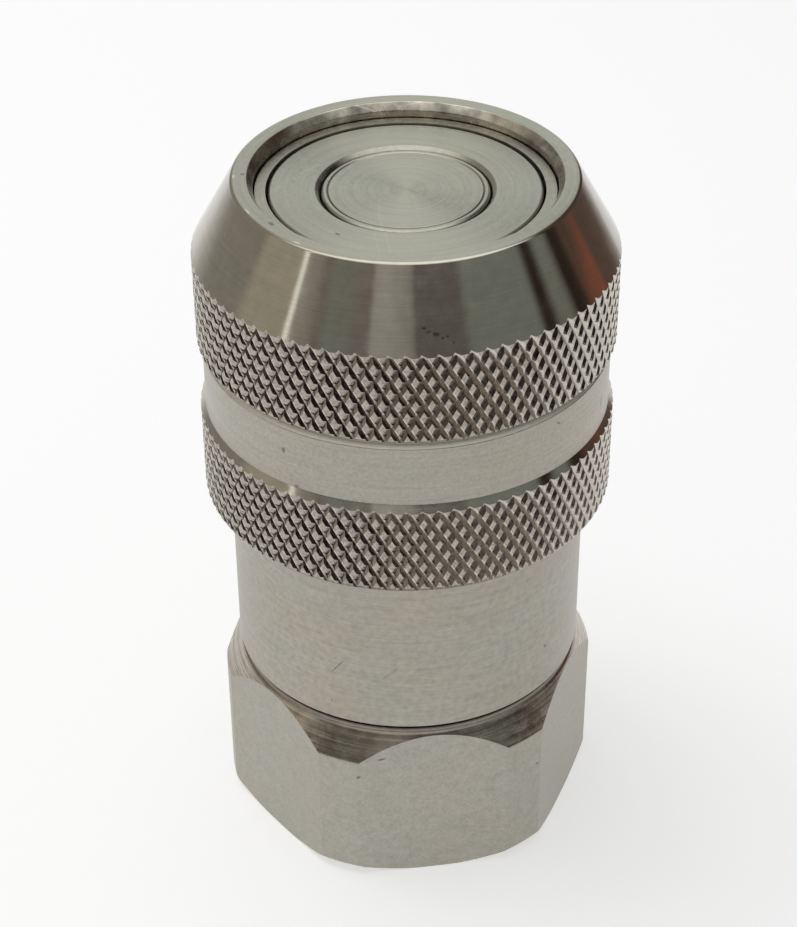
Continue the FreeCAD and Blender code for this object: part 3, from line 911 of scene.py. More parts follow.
@dataclass
class LockingSleeve:
    """The knurled collar: polished cone, two grip bands, and the mouth with its lip."""

    LEVEL = 0.97
    BEVEL = (0.42, 0.66)
    CHAMFER = (0.66, 0.75)
    FLANK_SIDE = 0.2
    FLANK_RISE = 0.15

    crest: float = 19.35
    crest_slack: float = 0.008
    rim: float = 15.45
    rim_slack: float = 0.2
    rim_top: float = 68.9
    rim_edge: float = 0.26
    rim_level: float = 0.01
    rim_reach: float = 0.3
    cone_base: float = 61.9
    upper_low: float = 53.5
    upper_foot: float = 53.2
    band_groove: float = 18.45
    band: float = 18.85
    band_high: float = 52.3
    band_high_edge: float = 0.06
    band_low: float = 46.45
    band_low_edge: float = 0.05
    lower_high: float = 45.75
    lower_low: float = 37.5
    low: float = 37.05
    mouth: float = 14.05
    mouth_bevel: float = 0.75
    mouth_edge: float = 0.10
    lip: float = 13.55
    lip_low: float = 66.6
    lip_root: float = 14.9
    recess: float = 15.9
    recess_top: float = 65.7
    land: float = 14.75
    land_low: float = 56.2
    land_high: float = 58.05
    bore: float = 17.1
    ring_groove: float = 17.7
    ring_groove_low: float = 42.0
    ring_groove_high: float = 43.3
    knurl_depth: float = 0.28
    half_rows: int = 7
    teeth: int = 86
    root_slack: float = 0.005
    segments: int = 344
    seam: float = 0.05
    crease: float = 13.0

    @property
    def root(self) -> float:
        """The radius of the knurl's grooves."""
        return self.crest - self.knurl_depth

    def build(self, finishes: dict[SleeveZone, Material]) -> Object:
        """Build the sleeve as one welded mesh.

        Args:
            finishes: The finish of each of its parts.

        Returns:
            The piece.
        """
        cone_slope = (self.crest - self.rim) / (self.rim_top - self.cone_base)
        edge_slope = (self.crest - self.band) / (self.band_low - self.lower_high)
        cone_foot = self.cone_base + self.knurl_depth / cone_slope
        edge_foot = self.lower_high + self.knurl_depth / edge_slope
        grip = finishes[SleeveZone.GRIP]
        mesh = bmesh.new()
        upper = self._knurl("upper_knurl", self.upper_foot, self.upper_low, self.cone_base, cone_foot)
        lower = self._knurl("lower_knurl", self.low, self.lower_low, self.lower_high, edge_foot)
        upper_foot, upper_end = upper.into(mesh, grip)
        lower_foot, lower_end = lower.into(mesh, grip)

        band = Turning(self.root - self.seam * edge_slope, edge_foot + self.seam)
        band.to(self.band, self.band_low, self.band_low_edge).up(self.band_high, self.band_high_edge)
        band.to(self.band_groove, self.band_high + self.band - self.band_groove)
        band.up(self.upper_foot).out(self.root - self.seam)
        band_start, band_stop = band.into(mesh, self.segments, closed=False)

        inside = Turning(self.root - self.seam * cone_slope, cone_foot + self.seam)
        inside.to(self.rim, self.rim_top, self.rim_edge).out(self.mouth, self.mouth_edge)
        inside.to(self.lip, self.rim_top - self.mouth_bevel, self.mouth_edge).up(self.lip_low, self.mouth_edge)
        inside.out(self.lip_root).to(self.recess, self.recess_top)
        inside.up(self.land_high + self.recess - self.land).to(self.land, self.land_high)
        inside.up(self.land_low).out(self.bore).up(self.ring_groove_high).out(self.ring_groove)
        inside.up(self.ring_groove_low).out(self.bore).up(self.low).out(self.root - self.seam)
        cone_start, bore_stop = inside.into(mesh, self.segments, closed=False)

        zip_rings(mesh, lower_end, band_start)
        zip_rings(mesh, band_stop, upper_foot)
        zip_rings(mesh, upper_end, cone_start)
        zip_rings(mesh, bore_stop, lower_foot)
        piece = finish_mesh("locking_sleeve_shell", mesh, grip, self.crease)
        for zone in list(SleeveZone)[1:]:
            piece.data.materials.append(finishes[zone])
        for face in piece.data.polygons:
            face.material_index = self._zone(face, piece.data).value
        return piece

    def _knurl(self, name: str, foot: float, low: float, high: float, end: float) -> KnurlBand:
        """Set up one grip band."""
        return KnurlBand(name, foot, low, high, end, self.crest, self.knurl_depth, self.teeth, self.half_rows)

    def _zone(self, face: MeshPolygon, data: Mesh) -> SleeveZone:
        """Tell which part of the sleeve a face belongs to.

        Args:
            face: The face.
            data: The sleeve's mesh.

        Returns:
            The part. Crests are rubbed bright and the down-facing flank on one side has a painted highlight;
            flanks that face up are darker, partly grime and partly painted shade.
        """
        x, y, z = face.center / MM
        radius = math.hypot(x, y)
        rise = face.normal.z
        sideways = (x * face.normal.y - y * face.normal.x) / radius
        least, most = self.BEVEL
        bevelled = least < rise < (self.LEVEL if z > self.rim_top - self.rim_reach else most)
        if z > self.lip_low and radius < self.mouth and rise < self.LEVEL:
            return SleeveZone.WORN
        if z > self.rim_top - self.rim_level:
            return SleeveZone.RIM
        on_bevel = z > self.cone_base or self.lower_high < z < self.band_low
        if bevelled and radius > self.rim - self.rim_slack and on_bevel:
            return SleeveZone.CONE
        # the chamfer under the upper knurl gets a painted highlight strip
        if self.band_high < z < self.upper_foot and self.CHAMFER[0] < rise < self.CHAMFER[1]:
            return SleeveZone.EDGE
        if radius < self.root - self.root_slack:
            return SleeveZone.PLAIN
        crest = (self.crest - self.crest_slack) * MM
        on_ridge = all(math.hypot(*data.vertices[index].co.xy) > crest for index in face.vertices)
        # crests are rubbed bright; the down-facing flank on one side is lightened as a painted highlight
        if on_ridge or sideways < -self.FLANK_SIDE and rise < -self.FLANK_RISE:
            return SleeveZone.RIDGE
        # flanks that face up are darkened: partly grime, partly painted shade
        if abs(sideways) > self.FLANK_SIDE and rise > self.FLANK_RISE:
            return SleeveZone.GRIME
        return SleeveZone.GRIP


@dataclass
class HexEnd:
    """The hex port end, milled from a turned blank, with its tapered pipe thread."""

    SIDES = 6
    LEVEL = 0.02
    FLAT_CUT = 1e-7

    across_flats: float = 33.8
    corner: float = 18.45
    corner_edge: float = 0.3
    foot: float = 17.0
    foot_edge: float = 0.1
    foot_rise: float = 1.0
    hex_top: float = 14.8
    hex_edge: float = 0.2
    shoulder: float = 16.8
    shoulder_top: float = 17.66
    shoulder_edge: float = 0.12
    shoulder_slack: float = 0.05
    collar: float = 16.6
    collar_top: float = 18.35
    collar_foot_edge: float = 0.08
    seat: float = 16.0
    barrel_low: float = 18.65
    spigot: float = 14.0
    spigot_top: float = 28.2
    seal_groove: float = 12.9
    seal_groove_low: float = 25.7
    seal_groove_high: float = 27.7
    cavity: float = 11.4
    cavity_floor: float = 22.2
    flow: float = 8.0
    port_mouth: float = 10.9
    port_depth: float = 15.5
    thread_bore: float = 10.55
    thread_low: float = 0.35
    thread_start: float = 0.15
    thread_top: float = 14.2
    thread_gap: float = 0.05
    thread_back: float = 0.02
    thread_crest: float = 9.15
    thread_pitch: float = 1.814
    thread_depth: float = 1.15
    thread_flank: Span = (0.12, 0.88)
    thread_steps: int = 72
    thread_rows: int = 11
    thread_weld: float = 0.002
    thread_crease: float = 25.0
    taper: float = 1 / 32
    segments: int = 360
    crease: float = 20.0

    def build(self, milled: Material, turned: Material, seam: Material) -> Object:
        """Build the hex end.

        Args:
            milled: The finish of the flats.
            turned: The finish of everything that was turned.
            seam: The finish of the soiled collar under the barrel.

        Returns:
            seam: The finish of the collar under the barrel: soiled, and darkened toward the barrel as painted
                shade.
        """
        blank = Turning(self.port_mouth, 0.0, self.foot_edge).out(self.foot, self.foot_edge)
        blank.to(self.corner, self.foot_rise, self.corner_edge).up(self.hex_top, self.hex_edge)
        blank.to(self.shoulder, self.shoulder_top, self.shoulder_edge)
        blank.to(self.collar, self.shoulder_top + self.shoulder - self.collar, self.collar_foot_edge)
        blank.up(self.collar_top, self.shoulder_edge).out(self.seat).up(self.barrel_low).out(self.spigot)
        blank.up(self.seal_groove_low).out(self.seal_groove).up(self.seal_groove_high).out(self.spigot)
        blank.up(self.spigot_top).out(self.cavity).up(self.cavity_floor).out(self.flow).up(self.port_depth)
        blank.out(self.thread_crest).up(self.thread_top).out(self.thread_bore).up(self.thread_low)
        mesh = bmesh.new()
        blank.into(mesh, self.segments)
        bmesh.ops.remove_doubles(mesh, verts=mesh.verts[:], dist=WELD)
        for side in range(self.SIDES):
            self._mill(mesh, math.radians(360 / self.SIDES * side - 90))
        piece = finish_mesh("hex_adapter_body", mesh, milled, self.crease)
        piece.data.materials.append(turned)
        piece.data.materials.append(seam)
        for face in piece.data.polygons:
            height, radius = face.center.z / MM, face.center.xy.length / MM
            chamfer = height > self.hex_top and face.normal.z > self.LEVEL
            if height > self.shoulder_top and radius > self.spigot:
                face.material_index = HexZone.SEAM.value
            elif chamfer or radius < self.shoulder + self.shoulder_slack:
                face.material_index = HexZone.TURNED.value
        return piece

    def _mill(self, mesh: BMesh, angle: float) -> None:
        """Cut one flat and close it with a face.

        Args:
            mesh: The turned blank.
            angle: The way that the flat faces.
        """
        normal = Vector((math.cos(angle), math.sin(angle), 0.0))
        cut = bmesh.ops.bisect_plane(mesh, geom=everything(mesh), dist=self.FLAT_CUT, plane_no=normal,
                                     plane_co=normal * (self.across_flats / 2 * MM), clear_outer=True)
        rim = [item for item in cut["geom_cut"] if isinstance(item, BMEdge)]
        bmesh.ops.contextual_create(mesh, geom=rim)

    def thread(self, material: Material) -> Object:
        """Build the tapered pipe thread in the port.

        A sheet is wound round the axis, pitch by pitch, and runs out to the bore at both ends.

        Args:
            material: The finish.

        Returns:
            The piece.
        """
        low, top = self.thread_low + self.thread_start, self.thread_top - self.thread_gap
        turns = math.ceil((top - low) / self.thread_pitch) + 1
        shape = Shape("port_thread", Turns=float(turns), Low=low, Top=top, Pitch=self.thread_pitch,
                      Crest=self.thread_crest, Depth=self.thread_depth, Taper=self.taper,
                      Bore=self.thread_bore - self.thread_gap)
        given = shape.given
        counts = (1.0, 1.0, turns * self.thread_steps + 1, self.thread_rows)
        sheet = shape.add("GeometryNodeMeshGrid", dict(enumerate(counts)), "Mesh")
        across, along, _ = shape.split(shape.add("GeometryNodeInputPosition"))
        turn = (across + 0.5) * given["Turns"]
        share = along + 0.5
        climb = shape.math("MAXIMUM", (turn + (share - 1.0)) * given["Pitch"], 0.0)
        height = shape.math("MINIMUM", given["Low"] + climb, given["Top"])
        depth = (abs(along) * 2.0).ramp(*self.thread_flank, 1.0, 0.0) * given["Depth"]
        lean = (given["Top"] - height) * given["Taper"]
        cut = given["Crest"] + (depth + lean * 0.5)
        countersink = given["Bore"] - (height - given["Low"])
        relief = given["Bore"] - (given["Top"] - height)
        radius = shape.math("MAXIMUM", cut, shape.math("MAXIMUM", countersink, relief))
        x, y = (radius * shape.math(way, turn * FULL_TURN) * MM for way in ("COSINE", "SINE"))
        place = shape.join(x, y, height * MM)
        wound = shape.add("GeometryNodeSetPosition", {"Geometry": sheet, "Position": place})
        mesh = bmesh.new()
        shape.into(mesh, wound, material)
        bmesh.ops.remove_doubles(mesh, verts=mesh.verts[:], dist=self.thread_weld * MM)
        bmesh.ops.dissolve_degenerate(mesh, edges=mesh.edges[:], dist=WELD)
        outside = bmesh.ops.extrude_face_region(mesh, geom=mesh.faces[:], use_keep_orig=True)["geom"]
        for item in outside:
            if isinstance(item, BMVert):
                item.co.xy = item.co.xy.normalized() * (self.thread_bore - self.thread_back) * MM
        return finish_mesh("port_thread", mesh, material, self.thread_crease)


@dataclass
class FlatFaces:
    """The flat face in the mouth: sliding valve sleeve, fixed stem head and its ring."""

    valve: float = 12.2
    valve_face: float = 67.45
    valve_edge: float = 0.15
    valve_bore: float = 7.7
    valve_bore_bevel: float = 0.35
    throat: float = 9.0
    throat_low: float = 61.7
    pocket: float = 10.9
    pocket_top: float = 58.2
    flange: float = 13.1
    flange_top: float = 49.1
    valve_low: float = 46.7
    stem_face: float = 67.3
    disc: float = 6.88
    head: float = 7.5
    head_low: float = 62.0
    head_high: float = 63.2
    seal_floor: float = 6.0
    ring_low: float = 65.2
    ring_bevel: float = 0.17
    shank: float = 4.5
    shank_low: float = 32.2
    tail: float = 3.0
    tail_low: float = 22.5
    tail_edge: float = 0.3
    inner_edge: float = 0.1
    face_edge: float = 0.08
    disc_edge: float = 0.06
    ring_edge: float = 0.05
    segments: int = 256

    def valve_sleeve(self, material: Material) -> Object:
        """Build the sliding valve sleeve.

        Args:
            material: The finish.

        Returns:
            The piece.
        """
        sleeve = Turning(self.pocket, self.valve_low)
        sleeve.out(self.flange, self.inner_edge).up(self.flange_top, self.inner_edge)
        sleeve.out(self.valve).up(self.valve_face - self.valve_edge, self.face_edge)
        sleeve.to(self.valve - self.valve_edge, self.valve_face, self.face_edge)
        sleeve.out(self.valve_bore + self.valve_bore_bevel, self.face_edge)
        sleeve.to(self.valve_bore, self.valve_face - self.valve_bore_bevel, self.face_edge).up(self.throat_low)
        sleeve.to(self.throat, self.throat_low - (self.throat - self.valve_bore))
        sleeve.up(self.pocket_top).out(self.pocket)
        return self._turn("valve_sleeve_body", sleeve, material)

    def stem(self, material: Material) -> Object:
        """Build the fixed stem with its flat head.

        Args:
            material: The finish.

        Returns:
            The piece.
        """
        stem = Turning(0.0, self.tail_low).out(self.tail, self.tail_edge)
        stem.up(self.shank_low).out(self.shank).up(self.head_low - (self.head - self.shank) / 2)
        stem.to(self.head, self.head_low, self.inner_edge).up(self.head_high).out(self.seal_floor)
        stem.up(self.ring_low).out(self.disc).up(self.stem_face, self.disc_edge).out(0.0)
        return self._turn("valve_stem_body", stem, material)

    def head_ring(self, material: Material) -> Object:
        """Build the narrow ring round the stem's disc.

        Args:
            material: The finish.

        Returns:
            The piece.
        """
        ring = Turning(self.disc, self.ring_low).out(self.head)
        ring.up(self.stem_face - self.ring_bevel, self.face_edge)
        ring.to(self.head - self.ring_bevel, self.stem_face, self.face_edge)
        ring.out(self.disc + self.ring_bevel, self.ring_edge).to(self.disc, self.stem_face - self.ring_bevel)
        return self._turn("stem_head_ring_body", ring, material)

    def _turn(self, name: str, profile: Turning, material: Material) -> Object:
        """Revolve one closed profile into a piece.

        Args:
            name: The piece's name.
            profile: The profile.
            material: The finish.

        Returns:
            The piece.
        """
        mesh = bmesh.new()
        profile.into(mesh, self.segments)
        return finish_mesh(name, mesh, material)


@dataclass
class Studio:
    """Pale floor, soft lamps, surrounding panels and the camera of the photograph.

    The edges in the room are parts of a direction: x to the right, y to the back and z up.
    """

    photo_size: tuple[int, int] = (797, 927)
    focal_pixels: float = 2293.0
    centre_pixel: Span = (407.4, 493.6)
    aim_height: float = 33.9
    distance: float = 222.8
    elevation: float = 36.19
    azimuth: float = -8.35
    roll: float = -0.294
    sensor: float = 36.0
    nearest: float = 0.01
    floor_radius: float = 0.26
    floor_segments: int = 96
    floor_colour: Colour = (0.8, 0.8, 0.8)
    floor_rough: float = 0.9
    floor_glow: float = 0.5
    room_light: float = 0.3
    lamp_aim: Place = (0.0, 0.0, 0.035)

    wall: Colour = (0.90, 0.94, 0.90)
    ceiling_edge: Span = (0.58, 0.76)
    ceiling_front: Colour = (1.7, 1.7, 1.62)
    ceiling_side: Colour = (0.34, 0.34, 0.32)
    ceiling_side_edge: Span = (0.12, 0.6)
    ceiling_back_edge: Span = (0.05, 0.45)
    counter_near: Colour = (0.008, 0.007, 0.006)
    counter_side: Colour = (0.17, 0.10, 0.065)
    counter_near_edge: Span = (0.2, 0.6)
    counter_front_edge: Span = (0.05, 0.35)
    counter_top: Span = (0.12, 0.24)
    corner_shade: Colour = (0.09, 0.08, 0.065)
    corner_share: float = 0.92
    corner_back_edge: Span = (0.0, 0.15)
    corner_low_edge: Span = (0.03, 0.10)
    corner_side_edge: Span = (0.4, 0.6)
    far_floor: Colour = (0.58, 0.54, 0.50)
    far_floor_edge: Span = (0.4, 0.7)
    floor_end: float = 0.26
    floor_blur: Span = (0.20, 0.11)
    floor_blur_edge: Span = (-0.3, 0.3)

    def camera(self) -> None:
        """Put the camera where the photograph was taken."""
        data = bpy.data.cameras.new("photo_camera")
        width, height = self.photo_size
        data.sensor_fit = "VERTICAL"
        data.sensor_height = self.sensor
        data.lens = self.focal_pixels * self.sensor / height
        data.shift_x = (width / 2 - self.centre_pixel[0]) / height
        data.shift_y = (self.centre_pixel[1] - height / 2) / height
        data.clip_start = self.nearest
        camera = new_object("photo_camera", data)
        side, rise = math.radians(self.azimuth), math.radians(self.elevation)
        away = Vector((math.sin(side) * math.cos(rise), -math.cos(side) * math.cos(rise), math.sin(rise)))
        camera.location = Vector((0, 0, self.aim_height * MM)) + away * self.distance * MM
        turn = Euler((math.pi / 2 - rise, 0.0, side)).to_matrix()
        tilt = Euler((0.0, 0.0, math.radians(self.roll))).to_matrix()
        camera.rotation_euler = (turn @ tilt).to_euler()
        bpy.context.scene.camera = camera

    def floor(self) -> None:
        """Lay a pale floor that keeps the coupler's shadow."""
        mesh = bmesh.new()
        bmesh.ops.create_circle(mesh, cap_ends=True, segments=self.floor_segments, radius=self.floor_radius)
        floor = new_object("floor", mesh_data("floor", mesh))
        surface = Surface("pale_floor")
        mirrored = surface.math("MAXIMUM", surface.ray("Is Glossy Ray"), surface.ray("Is Transmission Ray"))
        seen = surface.math("MAXIMUM", surface.ray("Is Camera Ray"), mirrored)
        surface.dress({
            "Base Color": (*self.floor_colour, 1.0),
            "Roughness": self.floor_rough,
            "Specular IOR Level": 0.0,
            "Emission Color": (*WHITE, 1.0),
            "Emission Strength": seen * self.floor_glow,
        })
        floor.data.materials.append(surface.material)

    def world(self) -> None:
        """Surround the coupler with white for the camera and with the photograph's room for mirrors."""
        world = bpy.data.worlds.new("studio")
        bpy.context.scene.world = world
        world.use_nodes = True
        graph = Graph(world.node_tree)
        x, y, z = graph.split(graph.add("ShaderNodeTexCoord", pick="Generated"))
        front = y * -1.0
        room = graph.tint(z.ramp(*self.ceiling_edge), self._walls(graph, x, front), self._ceiling(graph, x, y))
        counter = graph.tint(front.ramp(*self.counter_near_edge), self.counter_side, self.counter_near)
        below = z.ramp(*self.counter_top, 1.0, 0.0) * front.ramp(*self.counter_front_edge)
        room = graph.tint(below, room, counter)
        behind = y.ramp(*self.corner_back_edge) * z.ramp(*self.corner_low_edge)
        corner = behind * x.ramp(*self.corner_side_edge, 0.0, self.corner_share)
        room = graph.tint(corner, room, self.corner_shade)
        blur = x.ramp(*self.floor_blur_edge, *self.floor_blur)
        above_floor = graph.math("DIVIDE", z + self.floor_end, blur, clamp=True)
        floor = graph.tint(x.ramp(*self.far_floor_edge), WHITE, self.far_floor)
        mirrored = graph.tint(above_floor, floor, room)
        dim = (self.room_light, self.room_light, self.room_light)
        lit = graph.tint(graph.ray("Is Glossy Ray"), dim, mirrored)
        straight = graph.math("MAXIMUM", graph.ray("Is Camera Ray"), graph.ray("Is Transmission Ray"))
        background = world.node_tree.nodes["Background"]
        graph.feed(background.inputs["Color"], graph.tint(straight, lit, WHITE))
        background.inputs["Strength"].default_value = 1.0

    def _walls(self, graph: Graph, x: Value, front: Value) -> Value:
        """Colour the walls that stand round the coupler, by their bearing.

        Args:
            graph: The world's node tree.
            x: How far a ray goes to the right.
            front: How far it goes to the front.

        Returns:
            The colour.
        """
        share = graph.math("ARCTAN2", x, front).ramp(-math.pi, math.pi)
        panels = graph.add("ShaderNodeValToRGB", {0: share})
        ramp = panels.socket.node.color_ramp
        ramp.interpolation = "LINEAR"
        stops = self._panels()
        while len(ramp.elements) < len(stops):
            ramp.elements.new(0.5)
        for element, (degrees, colour) in zip(ramp.elements, stops):
            element.position = (degrees + 180.0) / 360.0
            element.color = (*colour, 1.0)
        return panels

    def _panels(self) -> list[tuple[float, Colour]]:
        """List what stands round the coupler.

        Returns:
            Bearings from the front, in degrees, with the colour of what stands there.
        """
        plain, tan, dusk = self.wall, (0.54, 0.50, 0.42), (0.37, 0.35, 0.31)
        shade, deep, black = (0.26, 0.23, 0.21), (0.18, 0.17, 0.16), (0.04, 0.03, 0.02)
        pale, grey, brick = (0.48, 0.47, 0.44), (0.28, 0.30, 0.27), (0.34, 0.12, 0.08)
        streak, rust = (1.9, 1.9, 1.8), (0.15, 0.10, 0.08)
        return [
            (-180, plain), (-177, plain), (-163, dusk), (-104, dusk), (-99, tan), (-73.5, tan),
            (-72.8, streak), (-71.8, streak), (-71.2, pale), (-62, dusk), (-57, shade), (-51, grey), (-29, shade),
            (-27, pale), (-18, pale), (-5, dusk), (-3.5, deep), (22, deep), (27, grey), (63, grey), (67, black),
            (71, black), (76, grey), (82, grey), (87, black), (94, black), (98, brick), (109, brick), (113, rust),
            (146, rust), (160, plain), (180, plain),
        ]

    def _ceiling(self, graph: Graph, x: Value, y: Value) -> Value:
        """Colour the ceiling: lit over the camera, plain behind, dim behind to both sides."""
        behind = graph.tint(abs(x).ramp(*self.ceiling_side_edge), self.wall, self.ceiling_side)
        return graph.tint(y.ramp(*self.ceiling_back_edge), self.ceiling_front, behind)

    def lamps(self) -> None:
        """Hang a large soft lamp over the coupler and a weaker one behind its left."""
        self._lamp("overhead_softbox", (-0.12, 0.10, 0.62), 0.45, 1.1)
        self._lamp("left_softbox", (-0.45, 0.25, 0.40), 0.35, 0.35)

    def _lamp(self, name: str, place: Place, size: float, power: float) -> None:
        """Hang one square area lamp that faces the coupler and stays out of its mirror image.

        Args:
            name: The lamp's name.
            place: Where it hangs, in metres.
            size: The length of its sides, in metres.
            power: Its power in watts.
        """
        data = bpy.data.lights.new(name, "AREA")
        data.shape = "SQUARE"
        data.size = size
        data.energy = power
        lamp = new_object(name, data)
        lamp.location = place
        lamp.visible_glossy = False
        aim = Vector(self.lamp_aim) - Vector(place)
        lamp.rotation_euler = aim.to_track_quat("-Z", "Y").to_euler()


@dataclass
class Coupler:
    """The whole coupler: its finishes, its modelled pieces and its carried-over solids."""

    sleeve: LockingSleeve = field(default_factory=LockingSleeve)
    hex_end: HexEnd = field(default_factory=HexEnd)
    faces: FlatFaces = field(default_factory=FlatFaces)
    springs: tuple[CoilSpring, ...] = (
        CoilSpring("sleeve_spring", "sleeve_pull", 47.6, 56.2, 15.85, 0.65, 3.25, 4.0),
        CoilSpring("valve_spring", "valve_slide", 32.2, 58.2, 9.9, 0.75, 6.5, 14.0),
    )
    satin: Colour = (0.404, 0.382, 0.325)

    band_marks: tuple[Mark, ...] = (
        Mark(-43.4, 50.0, 18.85, 0.24, 0.8, 1.7, 75.0),
        Mark(36.6, 51.3, 18.85, 0.14, 0.8, 2.5, -40.0),
        Mark(61.1, 49.0, 18.85, 0.30, 0.55, 3.0, 84.0),
        Mark(-39.4, 46.6, 18.85, 0.22, 0.6, 1.6),
    )
    cone_marks: tuple[Mark, ...] = (
        Mark(-3.8, 64.1, 18.12, 0.17, 0.95, 1.5),
        Mark(-2.6, 63.8, 18.29, 0.14, 0.95, 2.0, 20.0),
        Mark(-0.6, 63.6, 18.40, 0.20, 0.95, 1.8, -15.0),
        Mark(0.9, 63.3, 18.57, 0.14, 0.95),
        Mark(2.2, 63.4, 18.51, 0.12, 0.95, 1.6),
        Mark(3.7, 62.9, 18.79, 0.14, 0.95),
    )
    barrel_marks: tuple[Mark, ...] = (
        Mark(-31.6, 25.2, 16.93, 0.09, 0.7, 15.0, 54.0),
        Mark(-14.8, 25.2, 16.93, 0.07, 0.3, 19.0, 50.0),
        Mark(-13.2, 25.5, 16.93, 0.06, 0.3, 16.0, 50.0),
        Mark(-33.9, 20.8, 16.93, 0.09, 0.7, 3.5, -64.0),
        Mark(42.6, 23.5, 16.93, 0.20, 0.9, 1.4),
    )
    rim_marks: tuple[Mark, ...] = (
        Mark(-72.3, 68.85, 15.38, 0.36, 0.9, 1.6, bright=True),
        Mark(-45.8, 68.85, 15.38, 0.33, 0.9, 2.0, bright=True),
        Mark(-96.8, 68.85, 15.38, 0.34, 0.9, 1.4, bright=True),
        Mark(-60.6, 68.9, 14.5, 0.24, 0.8, 2.0),
        Mark(-98.1, 68.9, 14.4, 0.22, 0.8, 1.2),
    )
    valve_marks_and_gap_shade: tuple[Mark, ...] = (
        Mark(-44.1, 67.45, 10.05, 0.17, 0.9, 2.0),
        # painted shade: three dark arcs on the left of the valve bore's bevel stand in for the wider dark gap
        # beside the stem
        Mark(-128.0, 67.14, 7.74, 0.36, 1.0, 4.5),
        Mark(-104.0, 67.14, 7.74, 0.40, 1.0, 4.5),
        Mark(-80.0, 67.14, 7.74, 0.38, 1.0, 4.5),
    )
    hex_marks: tuple[Mark, ...] = (
        Mark(-16.8, 15.1, 17.65, 0.17, 0.9, 4.5, 8.0),
        Mark(-23.6, 13.1, 18.45, 0.20, 0.9, 1.3, 30.0),
        Mark(34.8, 10.8, 18.45, 0.16, 0.9, 1.5),
    )

    def dress(self) -> None:
        """Build every modelled piece and finish every solid."""
        face_steel = Steel("face_steel", (0.43, 0.418, 0.362), rough=0.34, line_scale=3.0, line_share=0.7,
                           blotch_scale=2.0, mottle=0.11, anisotropy=0.85, tone=0.02, scratch=0.08,
                           marks=self.rim_marks + self.valve_marks_and_gap_shade)
        face = face_steel.material()
        self._dress_sleeve(face)
        self._dress_hex_end()
        wire = Steel("wire_steel", (0.33, 0.32, 0.31), rough=0.3, lay=Lay.NONE).material()
        for spring in self.springs:
            spring.build(wire)
        stand_for(self.faces.valve_sleeve(face), "valve_sleeve", "valve_sleeve")
        stand_for(self.faces.stem(face), "valve_stem", "barrel")
        stand_for(self.faces.head_ring(face), "stem_head_ring", "barrel")
        self._finish_solids()

    def _dress_sleeve(self, face: Material) -> None:
        """Build the locking sleeve.

        Args:
            face: The finish of its rim, which the flat face shares.
        """
        finishes = {
            SleeveZone.GRIP: Steel(
                "grip_steel", (0.372, 0.339, 0.290), rough=0.18, rough_swing=0.07, lay=Lay.NONE, line_depth=0.03,
                blotch_scale=2.6, mottle=0.5),
            SleeveZone.PLAIN: Steel(
                "band_steel", self.satin, rough=0.34, line_scale=4.0, line_share=0.35, line_depth=0.009,
                blotch_scale=3.2, mottle=0.20, anisotropy=0.35, tone=0.03, scratch=0.10, marks=self.band_marks),
            SleeveZone.CONE: Steel(
                "cone_steel", rough=0.11, rough_swing=0.03, line_depth=0.003, mottle=0.12, anisotropy=0.85,
                tone=0.04, marks=self.cone_marks),
            SleeveZone.WORN: Steel(
                "worn_steel", (0.45, 0.425, 0.37), rough=0.26, line_share=0.25, blotch_scale=0.6, mottle=0.6,
                scratch=0.35),
            # crests rubbed bright, and one flank lightened as a painted highlight
            SleeveZone.RIDGE: Steel(
                "ridge_steel", (0.58, 0.545, 0.48), rough=0.20, lay=Lay.NONE, blotch_scale=2.0, mottle=0.2),
            # up-facing flanks darkened: partly grime, partly painted shade
            SleeveZone.GRIME: Steel(
                "grime_steel", (0.22, 0.188, 0.152), rough=0.22, lay=Lay.NONE, blotch_scale=2.0, mottle=0.4),
            # a light, rough finish that paints a highlight strip on the chamfer under the upper knurl
            SleeveZone.EDGE: Steel("edge_steel", (0.66, 0.64, 0.58), rough=0.55, anisotropy=0.0),
        }
        made = {zone: finish.material() for zone, finish in finishes.items()}
        stand_for(self.sleeve.build({**made, SleeveZone.RIM: face}), "locking_sleeve", "locking_sleeve")

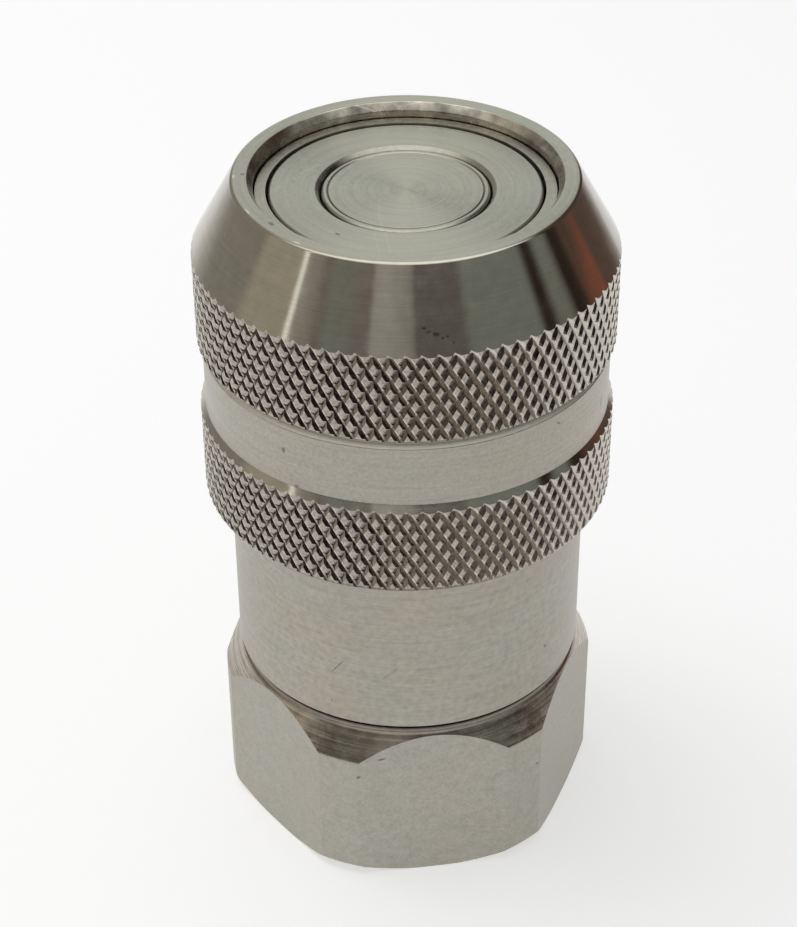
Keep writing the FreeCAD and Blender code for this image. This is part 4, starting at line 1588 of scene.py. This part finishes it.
    def _dress_hex_end(self) -> None:
        """Build the hex end and the thread in its port."""
        flat_steel = Steel("flat_steel", (0.415, 0.398, 0.345), rough=0.42, lay=Lay.NONE, line_scale=4.0,
                           line_depth=0.012, blotch_scale=1.1, mottle=0.17, tone=0.03, scratch=0.12,
                           marks=self.hex_marks)
        hex_steel = Steel("hex_steel", (0.40, 0.36, 0.30), rough=0.24, rough_swing=0.06, line_scale=3.2,
                          line_share=0.75, line_depth=0.012, mottle=0.6, anisotropy=0.6)
        # the collar under the barrel: soiled and darker, with painted shade growing toward the barrel's edge
        seam_steel = Steel("seam_steel", (0.27, 0.245, 0.205), rough=0.36, blotch_scale=1.2, mottle=0.3,
                           soot_and_shade=(18.1, 18.42))
        turned = hex_steel.material()
        hex_end = self.hex_end.build(flat_steel.material(), turned, seam_steel.material())
        stand_for(hex_end, "hex_adapter", "barrel")
        thread = self.hex_end.thread(turned)
        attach(thread, "barrel")
        log.info("%s: %d faces on barrel", thread.name, len(thread.data.polygons))

    def _finish_solids(self) -> None:
        """Give the solids that no piece stands for their finishes."""
        finishes = (
            Steel("barrel_steel", self.satin, rough=0.38, line_share=0.36, line_depth=0.009, blotch_scale=1.6,
                  mottle=0.21, tone=0.045, scratch=0.16, marks=self.barrel_marks),
            Steel("inner_steel", rough=0.35),
            Steel("ball_steel", (0.55, 0.54, 0.53), rough=0.08, rough_swing=0.03, lay=Lay.NONE),
            Polymer("seal_rubber", (0.02, 0.02, 0.02), 0.55),
            Polymer("backup_plastic", (0.78, 0.76, 0.70), 0.5),
        )
        made = {finish.name: finish.material() for finish in finishes}
        for item in frame["record"]["subparts"]:
            solid = frame["nodes"][item["node"]]
            if item["material_slot"] in made and not solid.hide_render:
                solid.data.materials.clear()
                solid.data.materials.append(made[item["material_slot"]])
                log.info("%s: finished as %s", item["node"], item["material_slot"])


def main() -> None:
    """Build the coupler and the studio round it."""
    logging.basicConfig(level=logging.INFO, format="%(name)s %(message)s")
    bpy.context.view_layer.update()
    bpy.context.scene.view_settings.view_transform = "Standard"
    Coupler().dress()
    studio = Studio()
    studio.floor()
    studio.world()
    studio.lamps()
    studio.camera()


if __name__ == "__main__":
    main()
